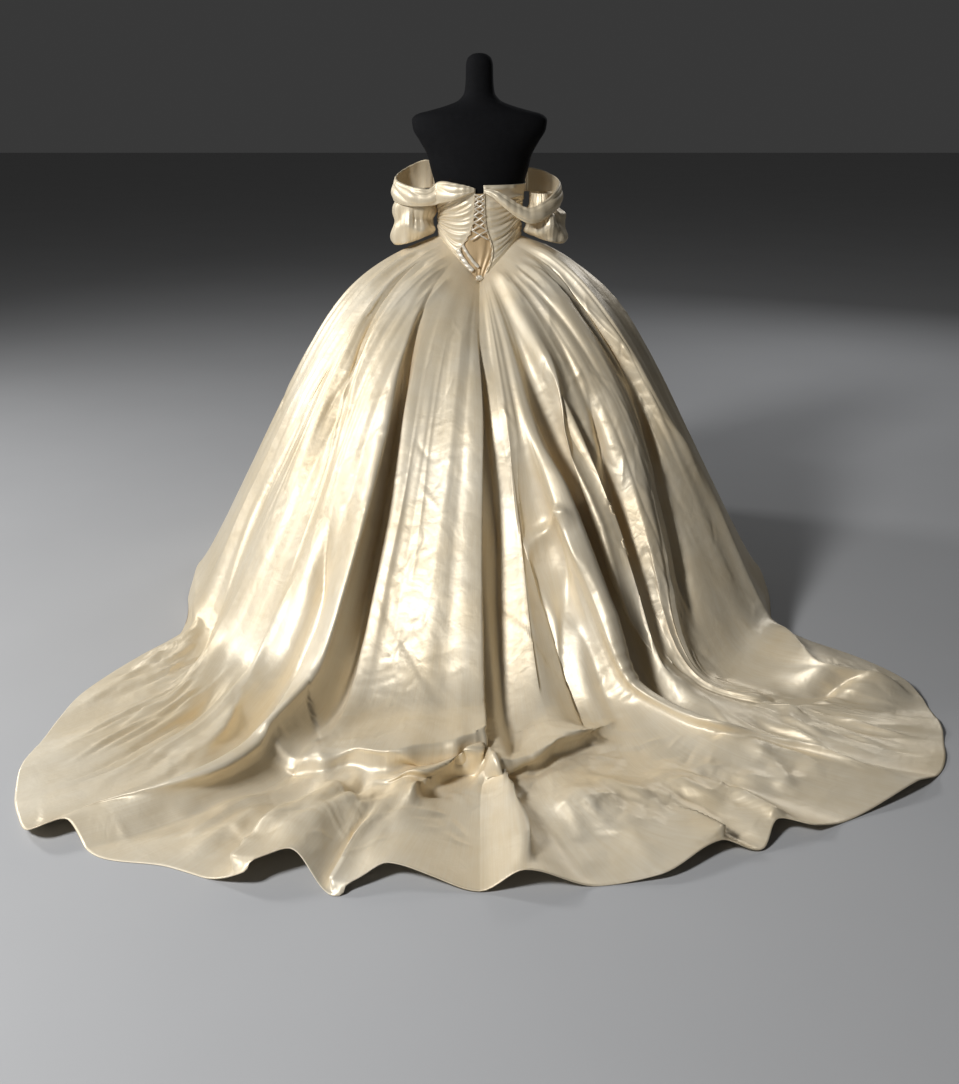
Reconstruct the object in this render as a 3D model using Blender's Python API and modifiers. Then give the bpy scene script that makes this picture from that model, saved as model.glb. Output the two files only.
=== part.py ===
"""Princess dress with a train, worn by a limbless dress form.

Units are metres and +Z is up. The origin is on the floor under the axis of the
dress form. +Y is the back of the dress, where the train lies, and +X is the
wearer's left. An angle round the form is in degrees, 0 at the centre back and
90 at +X. Along the skirt a level is 0 at the waist seam, 1 where the cloth
meets the floor and 2 at the hem.
"""

import math
from collections import namedtuple

import bmesh
import bpy
import numpy as np

# Driving dimensions
WAIST_HEIGHT = 1.09
BACK_POINT_DROP = 0.124   # how far the waist seam drops to its point at the centre back
FRONT_POINT_DROP = 0.060
POINT_SPREAD = 75.0       # degrees from the point to the level part of the seam
DOME_RISE = 0.223         # how far petticoats push the skirt out just below the waist
DOME_DEPTH = 0.10
FLOOR_RADIUS_FRONT = 0.79  # where the cloth meets the floor, from the axis
FLOOR_RADIUS_TRAIN = 0.31  # more than that at the centre back
TRAIN_SPREAD = 1.6         # how quickly that dies away towards the sides
FLOOR_CORNER = 0.02        # how softly the cloth turns from the slope to the floor
FLOOR_CORNER_TRAIN = 0.06  # more than that at the centre back
LEVEL_LENGTH = 0.8         # metres of train from one level to the next
SKIRT_WALL = 0.0025
BODICE_WALL = 0.0020
BAND_WALL = 0.0020
SLEEVE_WALL = 0.0015
PANEL_WALL = 0.0012
SEAM_GAP = 0.0004
REST_GAP = 0.0008          # between pieces whose facets run differently
WAIST_GAP = 0.0014         # the same, round the waist seam
BODICE_TOP_LEFT = 1.240
BODICE_TOP_RIGHT = 1.250
BODICE_TOP_FRONT = 1.262
BODICE_SIDE_ANGLE = 80.0
BODICE_FOOT_LAP = 0.001    # how far the bodice reaches below the waist seam
BODICE_DIP = 0.018         # how far its top edge dips at the centre front
BACK_RADIUS = 0.112        # about the distance from the axis to the laced opening
BODICE_ROWS = (0, .04, .08, .12, .16, .20, .24, .28, .33, .39, .45, .51, .57, .63, .69, .75, .81, .87, .93, 1.0)
RUCHE_HEIGHT = 0.0045
RUCHE_FOLDS = 6.5
PANEL_BOTTOM, PANEL_TOP = 0.998, 1.225
PANEL_HALF_ANGLE = 42.0
PANEL_EASE = 0.0002        # room for the facets behind the panel
LOOP_CORD_RADIUS = 0.0012
LOOP_GAP = 0.0015
LOOP_REACH = 0.0050
LOOP_INSET = 0.0020
LOOP_COUNT = 11
RIBBON_WIDTH = 0.0065
RIBBON_WIDE = 0.0125
RIBBON_SHORT_WIDE = 0.0091
RIBBON_WALL = 0.0010
KNOT_SIZE = (0.011, 0.006, 0.008)
KNOT_HEIGHT = 0.9815
KNOT_STAND = 0.0015         # the knot rests on the skirt's top edge, which stands this far out
FORM_COLUMNS = 24
FORM_STEP = 0.032           # the most between two rings of the form
POLE_RADIUS = 0.016
BASE_RADIUS, BASE_HEIGHT = 0.185, 0.014

# Levels at which the fold table gives angles and heights
FOLD_LEVELS = (0.0, 0.1, 0.25, 0.5, 0.75, 1.0, 1.4, 2.0)

# One row for each crest or valley of the skirt's back, from the right side to the left side:
# its name, its columns to the next row, its angle and its height in mm at each fold level
Fold = namedtuple("Fold", "name columns angles heights")
BACK_FOLDS = (
    Fold("right_seam", 2, (-76, -73, -71, -70, -69, -66, -63, -62), (0, 4, -6, -10, -6, 0, 0, 0)),
    Fold("right_ridge", 3, (-66, -63, -60.5, -57, -58, -53.5, -47, -52), (0, 14, 14, 26, 34, 42, 50, 26)),
    Fold("right_gully", 2, (-58, -57, -55, -53, -44, -35, -41.5, -48.5), (0, -4, -22, -14, -22, -16, 0, 0)),
    Fold("right_crest_3", 2, (-42, -42, -42, -41, -36, -32.7, -39.5, -46), (0, 8, 14, 20, 24, 4, 5, 10)),
    Fold("right_slit", 2, (-25, -26, -27, -29, -29, -31, -37.5, -44), (0, 0, 0, -4, -12, -8, 0, 0)),
    Fold("right_crest_2", 2, (-20, -20, -21, -24.5, -26.7, -28, -33, -42), (0, 6, 12, 26, 28, 20, 10, 4)),
    Fold("right_dip", 3, (-13.5, -14.2, -16, -20, -24, -24.6, -29.5, -39.5), (0, -4, -9, -24, -42, -28, 2, 0)),
    Fold("right_roll", 2, (-8.5, -9.5, -11, -13.4, -17.2, -21.2, -25.8, -35.8), (0, 3, 6, 12, 30, 42, 48, 22)),
    Fold("right_train", 2, (-7.5, -8.4, -9.7, -11.8, -15.2, -19.2, -20.5, -28), (0, 3, 4, 9, 2, 8, 12, 0)),
    Fold("right_pit", 1, (-6.5, -7.2, -8.3, -10.2, -13.4, -17.3, -15.5, -22.6), (0, 3, 3, 4, -14, -16, 2, 34)),
    Fold("right_shelf", 2, (-5.4, -5.9, -6.8, -8.6, -11, -12.8, -12, -20.2), (0, 3, 4, 7, 4, 4, 16, 4)),
    Fold("right_panel", 1, (-4.2, -4.6, -5.4, -6.8, -8, -8, -8, -17.4), (0, 3, 5, 10, 12, 16, 24, 32)),
    Fold("right_apron", 1, (-2.8, -3.1, -3.6, -4.5, -5, -5, -5, -8), (0, 1, 3, 6, 2, 2, 12, 0)),
    Fold("right_hem_wave", 1, (-1.4, -1.5, -1.8, -2.2, -2.5, -2.5, -2.5, -3.0), (0, 0, 0, 0, -10, -12, 6, 50)),
    Fold("centre_seam", 1, (0, 0, 0, 0, 0, 0, 0, 0), (0, 0, -2, -6, -20, -22, 2, 2)),
    Fold("left_hem_wave", 1, (3, 3, 3.5, 3.8, 4, 4, 4, 6.2), (0, 2, 2, 4, 0, 0, 12, 40)),
    Fold("left_panel", 2, (6, 6, 7, 7.5, 8, 8, 8, 9.3), (0, 4, 6, 10, 12, 14, 22, 0)),
    Fold("left_wave", 2, (16, 15, 14, 13, 12, 12, 12, 12.8), (0, 3, 4, 4, 6, 6, 20, 62)),
    Fold("left_apron", 2, (25, 23, 20.6, 17.5, 15.5, 15.3, 15.2, 18.5), (0, 1, -2, -8, -6, -4, 10, 0)),
    Fold("left_slit", 3, (34, 31, 27.2, 22, 19.3, 18.6, 18.2, 27.2), (0, 0, -6, -14, -16, -12, 0, 0)),
    Fold("left_roll", 2, (37, 33, 28.6, 25.0, 22.6, 22, 22, 29.6), (0, 2, 10, 52, 88, 98, 85, 46)),
    Fold("left_cup", 2, (39, 35, 31, 28.8, 26.5, 26.8, 25.5, 32.5), (0, 3, 12, 42, 62, 54, 26, 14)),
    Fold("left_roll_2", 2, (43, 40, 36, 33, 30, 30.5, 29.5, 35), (0, 5, 14, 34, 64, 64, 52, 16)),
    Fold("left_groove", 2, (56, 54, 50.5, 42.5, 35.3, 34.4, 32.5, 37), (0, 0, -6, -8, 26, 32, 24, 8)),
    Fold("left_crest_3", 2, (60, 56.5, 52.5, 48.5, 44, 43.5, 36.8, 39.2), (0, 6, 14, 22, 40, 48, 34, 20)),
    Fold("left_gully", 2, (64, 60, 57, 57, 57, 49, 42, 43), (0, -10, -14, -12, -6, 6, 0, 0)),
    Fold("left_crest_4", 3, (70, 67, 64, 63, 63, 55, 48, 48), (0, 4, 10, 14, 18, 30, 22, 12)),
    Fold("left_seam", 2, (76, 73, 71, 70, 69, 66, 63, 62), (0, 0, -6, -8, -6, 0, 0, 0)),
)
SEAM_FOLDS = ("right_seam", "centre_seam", "left_seam")

# The sides and front repeat like folds: alternate crests and valleys, even enough to compute
FRONT_FOLD_COUNT = 18
FRONT_CREST_MM = 17.0
FRONT_VALLEY_MM = -9.0
FRONT_FOLDS_PER_PANEL = 6
FRONT_FOLD_WANDER = 1.6    # degrees

# Levels of the mesh rows, close together at the waist and where the cloth meets the floor
BACK_ROWS = (0, .03, .07, .12, .18, .25, .32, .40, .48, .56, .64, .72, .80, .88, .95,
             1.02, 1.10, 1.18, 1.26, 1.34, 1.43, 1.55, 1.70, 1.86, 2.0)
FRONT_ROWS = (0, .03, .07, .12, .18, .25, .32, .40, .56, .72, .88, .95, 1.02, 1.10, 1.34, 2.0)

# Where the hem lies: radius from the axis by angle
Hem = namedtuple("Hem", "angle radius")
HEM_LINE = (
    Hem(-180, .82), Hem(-150, .84), Hem(-120, .87), Hem(-92, .92), Hem(-72, .97), Hem(-60, 1.03),
    Hem(-56.5, 1.12), Hem(-54.3, 1.30), Hem(-50.3, 1.52), Hem(-44.5, 1.65), Hem(-38.5, 1.722),
    Hem(-30.5, 1.724), Hem(-25.0, 1.725), Hem(-22.6, 1.690), Hem(-20.2, 1.735), Hem(-17.4, 1.712),
    Hem(-12, 1.763), Hem(-3, 1.760), Hem(0, 1.765), Hem(3, 1.745), Hem(6.2, 1.730), Hem(9.3, 1.800),
    Hem(12.8, 1.750), Hem(15.5, 1.815), Hem(21, 1.804), Hem(26, 1.835), Hem(29.3, 1.810),
    Hem(31.5, 1.860), Hem(34, 1.829), Hem(37.5, 1.76), Hem(42.2, 1.62), Hem(47.5, 1.44),
    Hem(52.6, 1.22), Hem(57, 1.06), Hem(72, .97), Hem(92, .92), Hem(120, .87), Hem(150, .84), Hem(180, .82),
)

# Rolls of cloth that lie across the train where the back panels slump on the floor
CrossFold = namedtuple("CrossFold", "name angles levels height_mm rise_width fall_width")
CROSS_FOLDS = (
    CrossFold("left_slump", (18, 10.5, 1.0), (1.38, 1.37, 1.22), 46, .13, .035),
    CrossFold("left_small_roll", (7.5, 4.0, 0.6), (1.52, 1.42, 1.30), 24, .05, .035),
    CrossFold("right_slump", (-0.8, -6.5, -12.5), (1.36, 1.30, 1.14), 44, .12, .035),
    CrossFold("train_roll_left", (17, 11, 6), (1.72, 1.64, 1.60), 20, .07, .07),
    CrossFold("train_roll_right", (-6, -13, -20), (1.62, 1.58, 1.66), 22, .08, .07),
)

# The body under the dress, by height: half width, depth to the back, depth to the front
Body = namedtuple("Body", "height half_width back front")
BODY = (
    Body(.900, .150, .112, .105), Body(.930, .158, .119, .110), Body(.980, .150, .115, .105),
    Body(1.040, .133, .103, .099), Body(1.090, .1238, .098, .098), Body(1.140, .1225, .098, .108),
    Body(1.190, .1260, .101, .124), Body(1.240, .1340, .105, .130), Body(1.290, .148, .106, .121),
    Body(1.330, .158, .104, .108), Body(1.370, .180, .098, .098), Body(1.405, .200, .088, .089),
    Body(1.430, .203, .077, .078), Body(1.446, .188, .070, .070), Body(1.456, .150, .063, .063),
    Body(1.468, .105, .056, .056), Body(1.485, .062, .049, .049), Body(1.508, .045, .043, .043),
    Body(1.545, .041, .040, .040), Body(1.582, .040, .039, .039), Body(1.602, .034, .033, .033),
    Body(1.612, .020, .020, .020),
)
FORM_TOP = 1.615
FORM_BOTTOM = 0.895

# The back opening, from its foot to the top: distance of each edge from the centre line
Opening = namedtuple("Opening", "share left right")
OPENING = (
    Opening(0.00, .004, .004), Opening(.12, .030, .022), Opening(.24, .058, .036),
    Opening(.33, .060, .040), Opening(.44, .044, .032), Opening(.56, .026, .020),
    Opening(.70, .017, .015), Opening(1.0, .012, .012),
)

# Where the lacing ribbon and its two free ends turn, by angle and height
Turn = namedtuple("Turn", "angle height")
LACING_TURNS = (
    Turn(7, 1.224), Turn(-6.5, 1.211), Turn(7.5, 1.197), Turn(-7.5, 1.182), Turn(9, 1.163),
    Turn(-9, 1.143), Turn(12, 1.120), Turn(-14, 1.092),
)
END_LONG_TURNS = (Turn(35, 1.062), Turn(27, 1.040), Turn(18, 1.018), Turn(9, 1.002))
END_SHORT_TURNS = (Turn(27, 1.075), Turn(19, 1.052), Turn(10, 1.030), Turn(1, 1.012))

# The off-shoulder band, along its way from the back opening round one arm to the front
Band = namedtuple("Band", "name x y top bottom flare")
BAND_LEFT = (
    Band("opening", .014, .110, 1.241, 1.232, .001),
    Band("back_1", .040, .109, 1.248, 1.221, .005),
    Band("back_2", .070, .104, 1.254, 1.208, .010),
    Band("back_3", .100, .092, 1.259, 1.200, .013),
    Band("armpit_back", .125, .078, 1.256, 1.194, .014),
    Band("loop_near_1", .150, .083, 1.238, 1.190, .008),
    Band("loop_near_2", .178, .084, 1.241, 1.188, .006),
    Band("loop_near_3", .208, .075, 1.245, 1.189, .010),
    Band("loop_outer_1", .238, .044, 1.254, 1.194, .011),
    Band("loop_outer_2", .253, .000, 1.263, 1.200, .009),
    Band("loop_outer_3", .246, -.038, 1.276, 1.206, .006),
    Band("loop_far_1", .222, -.067, 1.291, 1.214, .006),
    Band("loop_far_2", .192, -.081, 1.305, 1.222, .006),
    Band("tip", .163, -.083, 1.312, 1.228, .006),
    Band("armpit_front", .140, -.090, 1.304, 1.226, .008),
    Band("front_1", .100, -.122, 1.290, 1.220, .010),
    Band("front_2", .050, -.142, 1.277, 1.210, .012),
)
BAND_CENTRE = Band("front_centre", 0.0, -.148, 1.270, 1.204, .012)
BAND_RIGHT = (
    Band("opening", -.014, .110, 1.238, 1.229, .001),
    Band("back_1", -.045, .110, 1.235, 1.212, .005),
    Band("back_2", -.078, .110, 1.220, 1.184, .012),
    Band("back_3", -.114, .107, 1.197, 1.156, .010),
    Band("sag", -.152, .101, 1.184, 1.140, .008),
    Band("loop_near", -.190, .085, 1.200, 1.150, .006),
    Band("loop_outer_1", -.224, .050, 1.226, 1.172, .006),
    Band("loop_outer_2", -.242, .000, 1.248, 1.186, .006),
    Band("loop_outer_3", -.236, -.038, 1.262, 1.197, .006),
    Band("loop_far_1", -.214, -.066, 1.274, 1.208, .006),
    Band("loop_far_2", -.184, -.080, 1.284, 1.214, .006),
    Band("armpit_front", -.145, -.090, 1.290, 1.218, .008),
    Band("front_1", -.100, -.122, 1.284, 1.216, .010),
    Band("front_2", -.050, -.142, 1.275, 1.209, .012),
)
BAND_STEPS_PER_ROW = 2
BAND_ROWS = 5
BAND_BULGE = 0.006

# Sleeve rings from the top edge to the cuff: centre distance from the axis, centre y, height,
# half width, half depth, slope (drop towards the outer side) and gather depth
Ring = namedtuple("Ring", "out back height half_width half_depth slope gather")
SLEEVE_LEFT = (
    Ring(.200, -.002, 1.226, .0490, .069, .00, .0025), Ring(.200, .000, 1.204, .0545, .0717, .02, .0025),
    Ring(.201, .003, 1.182, .0630, .074, .04, .0015), Ring(.202, .004, 1.160, .0635, .075, .06, .0035),
    Ring(.202, .004, 1.142, .0620, .072, .08, .0050), Ring(.204, .004, 1.124, .0645, .075, .12, .0030),
    Ring(.206, .004, 1.104, .0660, .077, .20, .0012), Ring(.207, .004, 1.086, .0600, .071, .26, .0020),
    Ring(.208, .004, 1.080, .0450, .056, .28, .0030), Ring(.207, .004, 1.089, .0400, .050, .28, .0025),
)
SLEEVE_RIGHT = (
    Ring(.190, -.006, 1.222, .036, .056, .00, .0020), Ring(.192, -.004, 1.202, .040, .058, .02, .0025),
    Ring(.195, .000, 1.182, .041, .059, .04, .0028), Ring(.202, .003, 1.162, .0615, .070, .06, .0045),
    Ring(.203, .003, 1.140, .0640, .074, .08, .0045), Ring(.203, .003, 1.120, .0640, .074, .12, .0035),
    Ring(.205, .003, 1.102, .0650, .074, .18, .0022), Ring(.206, .003, 1.089, .0600, .069, .24, .0020),
    Ring(.207, .003, 1.083, .0450, .056, .26, .0030), Ring(.206, .003, 1.092, .0400, .050, .26, .0025),
)
SLEEVE_COLUMNS = 26
SLEEVE_GATHERS = 13
DENT_ANGLE, DENT_WIDTH = 48.0, 24.0  # the right puff is pushed in on its outer back side
DENT_HEIGHT, DENT_REACH, DENT_DEPTH = 1.148, 0.024, 0.016

# Colour (linear), roughness and metallic value of each finish
Finish = namedtuple("Finish", "color roughness metallic")
FINISHES = {
    "satin": Finish((.72, .62, .46, 1), .36, .15),
    "satin_shade": Finish((.55, .40, .24, 1), .45, .10),
    "ribbon": Finish((.86, .84, .78, 1), .32, .10),
    "form_cloth": Finish((.012, .012, .014, 1), .85, 0.0),
    "stand_metal": Finish((.03, .03, .032, 1), .40, .60),
}


def monotone(x, xs, ys):
    """Smooth curve through the points (xs, ys) that never overshoots them; ys may have many columns."""
    x, xs, ys = (np.asarray(v, float) for v in (x, xs, ys))
    step = np.diff(xs)
    ys = ys.reshape(len(xs), -1)
    slope = np.diff(ys, axis=0) / step[:, None]
    tangent = np.zeros_like(ys)
    tangent[0], tangent[-1] = slope[0], slope[-1]
    before, after = slope[:-1], slope[1:]
    same = before * after > 0
    w_before = (2 * step[1:] + step[:-1])[:, None]
    w_after = (step[1:] + 2 * step[:-1])[:, None]
    with np.errstate(divide="ignore", invalid="ignore"):
        mean = (w_before + w_after) / (w_before / before + w_after / after)
    tangent[1:-1] = np.where(same, mean, 0.0)
    flat = np.clip(x.ravel(), xs[0], xs[-1])
    i = np.clip(np.searchsorted(xs, flat, side="right") - 1, 0, len(xs) - 2)
    h = step[i][:, None]
    t = ((flat - xs[i]) / step[i])[:, None]
    out = ((2 * t**3 - 3 * t**2 + 1) * ys[i] + (t**3 - 2 * t**2 + t) * h * tangent[i]
           + (3 * t**2 - 2 * t**3) * ys[i + 1] + (t**3 - t**2) * h * tangent[i + 1])
    return out[:, 0].reshape(x.shape) if ys.shape[1] == 1 else out


def smooth(share):
    share = np.clip(share, 0.0, 1.0)
    return share * share * (3 - 2 * share)


def turn(angle):
    """The angle brought to between -180 and 180 degrees."""
    return (np.asarray(angle, float) + 180.0) % 360.0 - 180.0


def backness(angle):
    """1 at the centre back, 0 at the centre front."""
    return (1 + np.cos(np.radians(angle))) / 2


def body_radius(angle, height):
    """Distance from the axis to the dress form's surface."""
    heights = [row.height for row in BODY]
    sizes = monotone(height, heights, [row[1:] for row in BODY])
    wide, back, front = sizes[:, 0], sizes[:, 1], sizes[:, 2]
    s, c = np.sin(np.radians(angle)).ravel(), np.cos(np.radians(angle)).ravel()
    deep = np.where(c > 0, back, front)
    radius = 1 / np.sqrt((s / wide) ** 2 + (c / deep) ** 2)
    return radius.reshape(np.shape(height))


def waist_height(angle):
    """Height of the waist seam, which drops to a point at the back and at the front."""
    off = np.abs(turn(angle))
    back = np.clip(1 - off / POINT_SPREAD, 0, 1) ** 1.3
    front = np.clip(1 - (180 - off) / POINT_SPREAD, 0, 1) ** 1.3
    return WAIST_HEIGHT - BACK_POINT_DROP * back - FRONT_POINT_DROP * front


BODICE_INNER = REST_GAP + PANEL_EASE + PANEL_WALL + REST_GAP   # from the form to the inside of the bodice
BODICE_OUTER = BODICE_INNER + BODICE_WALL


def skirt_base(angle, level):
    """Radius and height of the skirt's inside before any folds."""
    angle, level = np.broadcast_arrays(np.asarray(angle, float), np.asarray(level, float))
    top = waist_height(angle)
    waist = body_radius(angle, top) + BODICE_OUTER + WAIST_GAP
    floor = FLOOR_RADIUS_FRONT + FLOOR_RADIUS_TRAIN * backness(angle) ** TRAIN_SPREAD
    hem = monotone(turn(angle), [h.angle for h in HEM_LINE], [h.radius for h in HEM_LINE])
    standing = np.minimum(level, 1.0)
    drop = top * (0.4 * standing + 0.6 * standing**2)
    slope = (floor - waist - DOME_RISE) / top
    radius = waist + DOME_RISE * (1 - np.exp(-drop / DOME_DEPTH)) + slope * drop
    radius = np.where(level > 1, floor + (hem - floor) * (level - 1), radius)
    above = np.where(level > 1, -(radius - floor) / slope, top - drop)
    blend = FLOOR_CORNER + FLOOR_CORNER_TRAIN * backness(angle)
    height = (above + np.sqrt(above**2 + blend**2)) / 2
    height = height - (np.sqrt(top**2 + blend**2) - top) / 2
    last = -(hem - floor) / slope
    left_over = (last + np.sqrt(last**2 + blend**2)) / 2
    height = height - left_over * np.clip(level - 0.8, 0, 1.2) / 1.2
    return radius, np.maximum(height, 0.0)


def all_folds():
    """The back folds followed by the computed front folds, in order of angle."""
    folds = list(BACK_FOLDS)
    first, last = BACK_FOLDS[-1], BACK_FOLDS[0]
    for k in range(1, FRONT_FOLD_COUNT):
        share = k / FRONT_FOLD_COUNT
        wander = FRONT_FOLD_WANDER * math.sin(2.3 * k + 0.7)
        angles = [a + (b + 360 - a) * share + wander for a, b in zip(first.angles, last.angles)]
        crest = k % 2 == 1
        size = (FRONT_CREST_MM if crest else FRONT_VALLEY_MM) * (1 + 0.35 * math.sin(1.7 * k + 1.1))
        growth = (0, .35, .55, .8, 1.0, 1.0 if crest else 0.0, .8 if crest else 0, .6 if crest else 0)
        folds.append(Fold("front_fold_%d" % k, 2, angles, [size * g for g in growth]))
    return folds


def fold_height(angle, level):
    """Extra height in metres from the rolls that lie across the train."""
    extra = np.zeros(np.broadcast(angle, level).shape)
    for fold in CROSS_FOLDS:
        first, middle, last = fold.angles
        along = (angle - first) / (last - first)
        mid_share = (middle - first) / (last - first)
        line = monotone(np.clip(along, 0, 1), (0, mid_share, 1), fold.levels)
        across = (level - line) * LEVEL_LENGTH
        width = np.where(across < 0, fold.rise_width, fold.fall_width)
        ends = smooth((along + 0.15) / 0.3) * smooth((1.15 - along) / 0.3)
        extra = extra + fold.height_mm / 1000 * ends * np.exp(-(across / width) ** 2)
    return extra


def skirt_lines(folds, columns_per_fold, levels):
    """Angles and fold heights of the mesh columns that run down the skirt.

    columns_per_fold gives the columns between each fold and the next one.
    """
    count = len(folds)
    row_angles = np.array([monotone(levels, FOLD_LEVELS, f.angles) for f in folds])
    row_heights = np.array([monotone(levels, FOLD_LEVELS, f.heights) for f in folds]) / 1000
    angles, heights = [], []
    for k in range(count):
        following = (k + 1) % count
        span = row_angles[following] + (360 if following == 0 else 0) - row_angles[k]
        for j in range(columns_per_fold[k]):
            share = j / columns_per_fold[k]
            angles.append(row_angles[k] + span * share)
            heights.append(row_heights[k] + (row_heights[following] - row_heights[k]) * smooth(share))
    return np.array(angles), np.array(heights)


def skirt_points(angles, heights, levels):
    """Inside of the folded skirt, as an array of columns by rows by xyz."""
    levels = np.broadcast_to(np.asarray(levels, float), angles.shape)
    radius, height = skirt_base(angles, levels)
    ahead, behind = np.minimum(levels + 0.01, 2.0), np.maximum(levels - 0.01, 0.0)
    r1, z1 = skirt_base(angles, ahead)
    r0, z0 = skirt_base(angles, behind)
    length = np.hypot(r1 - r0, z1 - z0)
    out, up = (z0 - z1) / length, (r1 - r0) / length
    lift = heights + fold_height(turn(angles), levels)
    radius = radius + out * lift
    height = np.maximum(height + up * lift, 0.0)
    turned = np.radians(angles)
    return np.stack([radius * np.sin(turned), radius * np.cos(turned), height], axis=-1)


def grid_normals(points, closed):
    """Unit normals of a grid of points; closed joins its last column to its first."""
    if closed:
        across = np.roll(points, -1, axis=0) - np.roll(points, 1, axis=0)
    else:
        across = np.gradient(points, axis=0)
    down = np.gradient(points, axis=1)
    normal = np.cross(across, down)
    return normal / np.linalg.norm(normal, axis=-1, keepdims=True)


def wall_object(name, inner, outer, finish, closed=False):
    """A wall of cloth between two grids of points, with every rim closed."""
    columns, rows = inner.shape[:2]
    mesh = bmesh.new()
    sides = [[[mesh.verts.new(side[c, r]) for r in range(rows)] for c in range(columns)]
             for side in (inner, outer)]
    within, outside = sides
    last = columns if closed else columns - 1
    for c in range(last):
        d = (c + 1) % columns
        for r in range(rows - 1):
            for side, flip in ((outside, False), (within, True)):
                a, b, e, f = side[c][r], side[d][r], side[d][r + 1], side[c][r + 1]
                for corners in ((a, b, e), (a, e, f)):
                    mesh.faces.new(tuple(reversed(corners)) if flip else corners)
        for r, flip in ((0, False), (rows - 1, True)):
            rim(mesh, within[c][r], within[d][r], outside[d][r], outside[c][r], flip)
    if not closed:
        for c, flip in ((0, True), (columns - 1, False)):
            for r in range(rows - 1):
                rim(mesh, within[c][r], within[c][r + 1], outside[c][r + 1], outside[c][r], flip)
    face_outwards(mesh)
    return finish_object(name, mesh, finish)


def rim(mesh, a, b, c, d, flip):
    for corners in ((a, b, c), (a, c, d)):
        mesh.faces.new(tuple(reversed(corners)) if flip else corners)


def face_outwards(mesh):
    bmesh.ops.recalc_face_normals(mesh, faces=mesh.faces)
    if mesh.calc_volume(signed=True) < 0:
        bmesh.ops.reverse_faces(mesh, faces=mesh.faces)


def finish_object(name, mesh, finish):
    """Turn a bmesh into a named object with its own material in the dress's collection."""
    data = bpy.data.meshes.new(name)
    mesh.to_mesh(data)
    mesh.free()
    piece = bpy.data.objects.new(name, data)
    dress.objects.link(piece)
    data.materials.append(material(name, finish))
    data.shade_smooth()
    data.set_sharp_from_angle(angle=math.radians(50))
    return piece


def material(name, finish):
    made = bpy.data.materials.new(name + "_" + finish)
    made.use_nodes = True
    shader = made.node_tree.nodes["Principled BSDF"]
    shader.inputs["Base Color"].default_value = FINISHES[finish].color
    shader.inputs["Roughness"].default_value = FINISHES[finish].roughness
    shader.inputs["Metallic"].default_value = FINISHES[finish].metallic
    return made


def trim_side(points, inner_points, column, toward):
    """Pull one column of a panel back from its seam by half the seam gap."""
    for grid in (points, inner_points):
        step = grid[toward] - grid[column]
        length = np.linalg.norm(step, axis=-1, keepdims=True)
        grid[column] += step / length * SEAM_GAP / 2


def build_skirt():
    """Five panels: two at the back with the train, two at the sides and one in front."""
    folds = all_folds()
    names = [f.name for f in folds]
    per_fold = [f.columns for f in folds]
    starts = [sum(per_fold[:k]) for k in range(len(folds))]
    total = sum(per_fold)
    grids = {}
    for rows in (BACK_ROWS, FRONT_ROWS):
        angles, heights = skirt_lines(folds, per_fold, rows)
        inside = skirt_points(angles, heights, rows)
        outside = inside + grid_normals(inside, closed=True) * SKIRT_WALL
        grids[rows] = inside, outside
    side_starts = [starts[names.index(n)] for n in SEAM_FOLDS]
    front_first = starts[names.index("front_fold_%d" % FRONT_FOLDS_PER_PANEL)]
    front_last = starts[names.index("front_fold_%d" % (FRONT_FOLD_COUNT - FRONT_FOLDS_PER_PANEL))]
    right_seam, centre_seam, left_seam = side_starts
    panels = (
        ("skirt_back_right", right_seam, centre_seam, BACK_ROWS),
        ("skirt_back_left", centre_seam, left_seam, BACK_ROWS),
        ("skirt_side_left", left_seam, front_first, FRONT_ROWS),
        ("skirt_front", front_first, front_last, FRONT_ROWS),
        ("skirt_side_right", front_last, total, FRONT_ROWS),
    )
    for name, first, last, rows in panels:
        picked = [c % total for c in range(first, last + 1)]
        inner, outer = (grid[picked].copy() for grid in grids[rows])
        if rows is BACK_ROWS:
            edge = 0 if name.endswith("right") else -1
            for grid, coarse in zip((inner, outer), grids[FRONT_ROWS]):
                for axis in range(3):   # the seam follows the straight runs of the panel beyond it
                    grid[edge][:, axis] = np.interp(BACK_ROWS, FRONT_ROWS, coarse[picked[edge], :, axis])
        for column, toward in ((0, 1), (-1, -2)):
            trim_side(outer, inner, column, toward)
        wall_object(name, inner, outer, "satin")


def on_body(angle, height, offset):
    """A point of the given offset outside the dress form."""
    radius = body_radius(angle, height) + offset
    turned = np.radians(angle)
    return np.stack([radius * np.sin(turned), radius * np.cos(turned), height], axis=-1)


def ruches(across, up, side):
    """Height of the ruched folds on a back panel, from its opening edge to its side seam."""
    fan = 1.05 - (0.60 if side > 0 else 0.15) * across
    phase = RUCHE_FOLDS * up / fan + 0.5 * across * (0 if side > 0 else 1)
    wave = 0.5 + 0.5 * np.cos(2 * math.pi * phase + 0.6 * np.sin(5 * across))
    fade = smooth(across / 0.22) * smooth((1 - across) / 0.10) * smooth(up / 0.36) * smooth((0.86 - up) / 0.10)
    return RUCHE_HEIGHT * wave * fade


def opening_edge(up, side):
    """Angle of the opening's edge at a share of the bodice's height at the centre back."""
    reach = monotone(up, [o.share for o in OPENING], [o.left if side > 0 else o.right for o in OPENING])
    return np.degrees(np.arctan2(reach, np.sqrt(BACK_RADIUS**2 - 0.7 * reach**2)))


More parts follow.
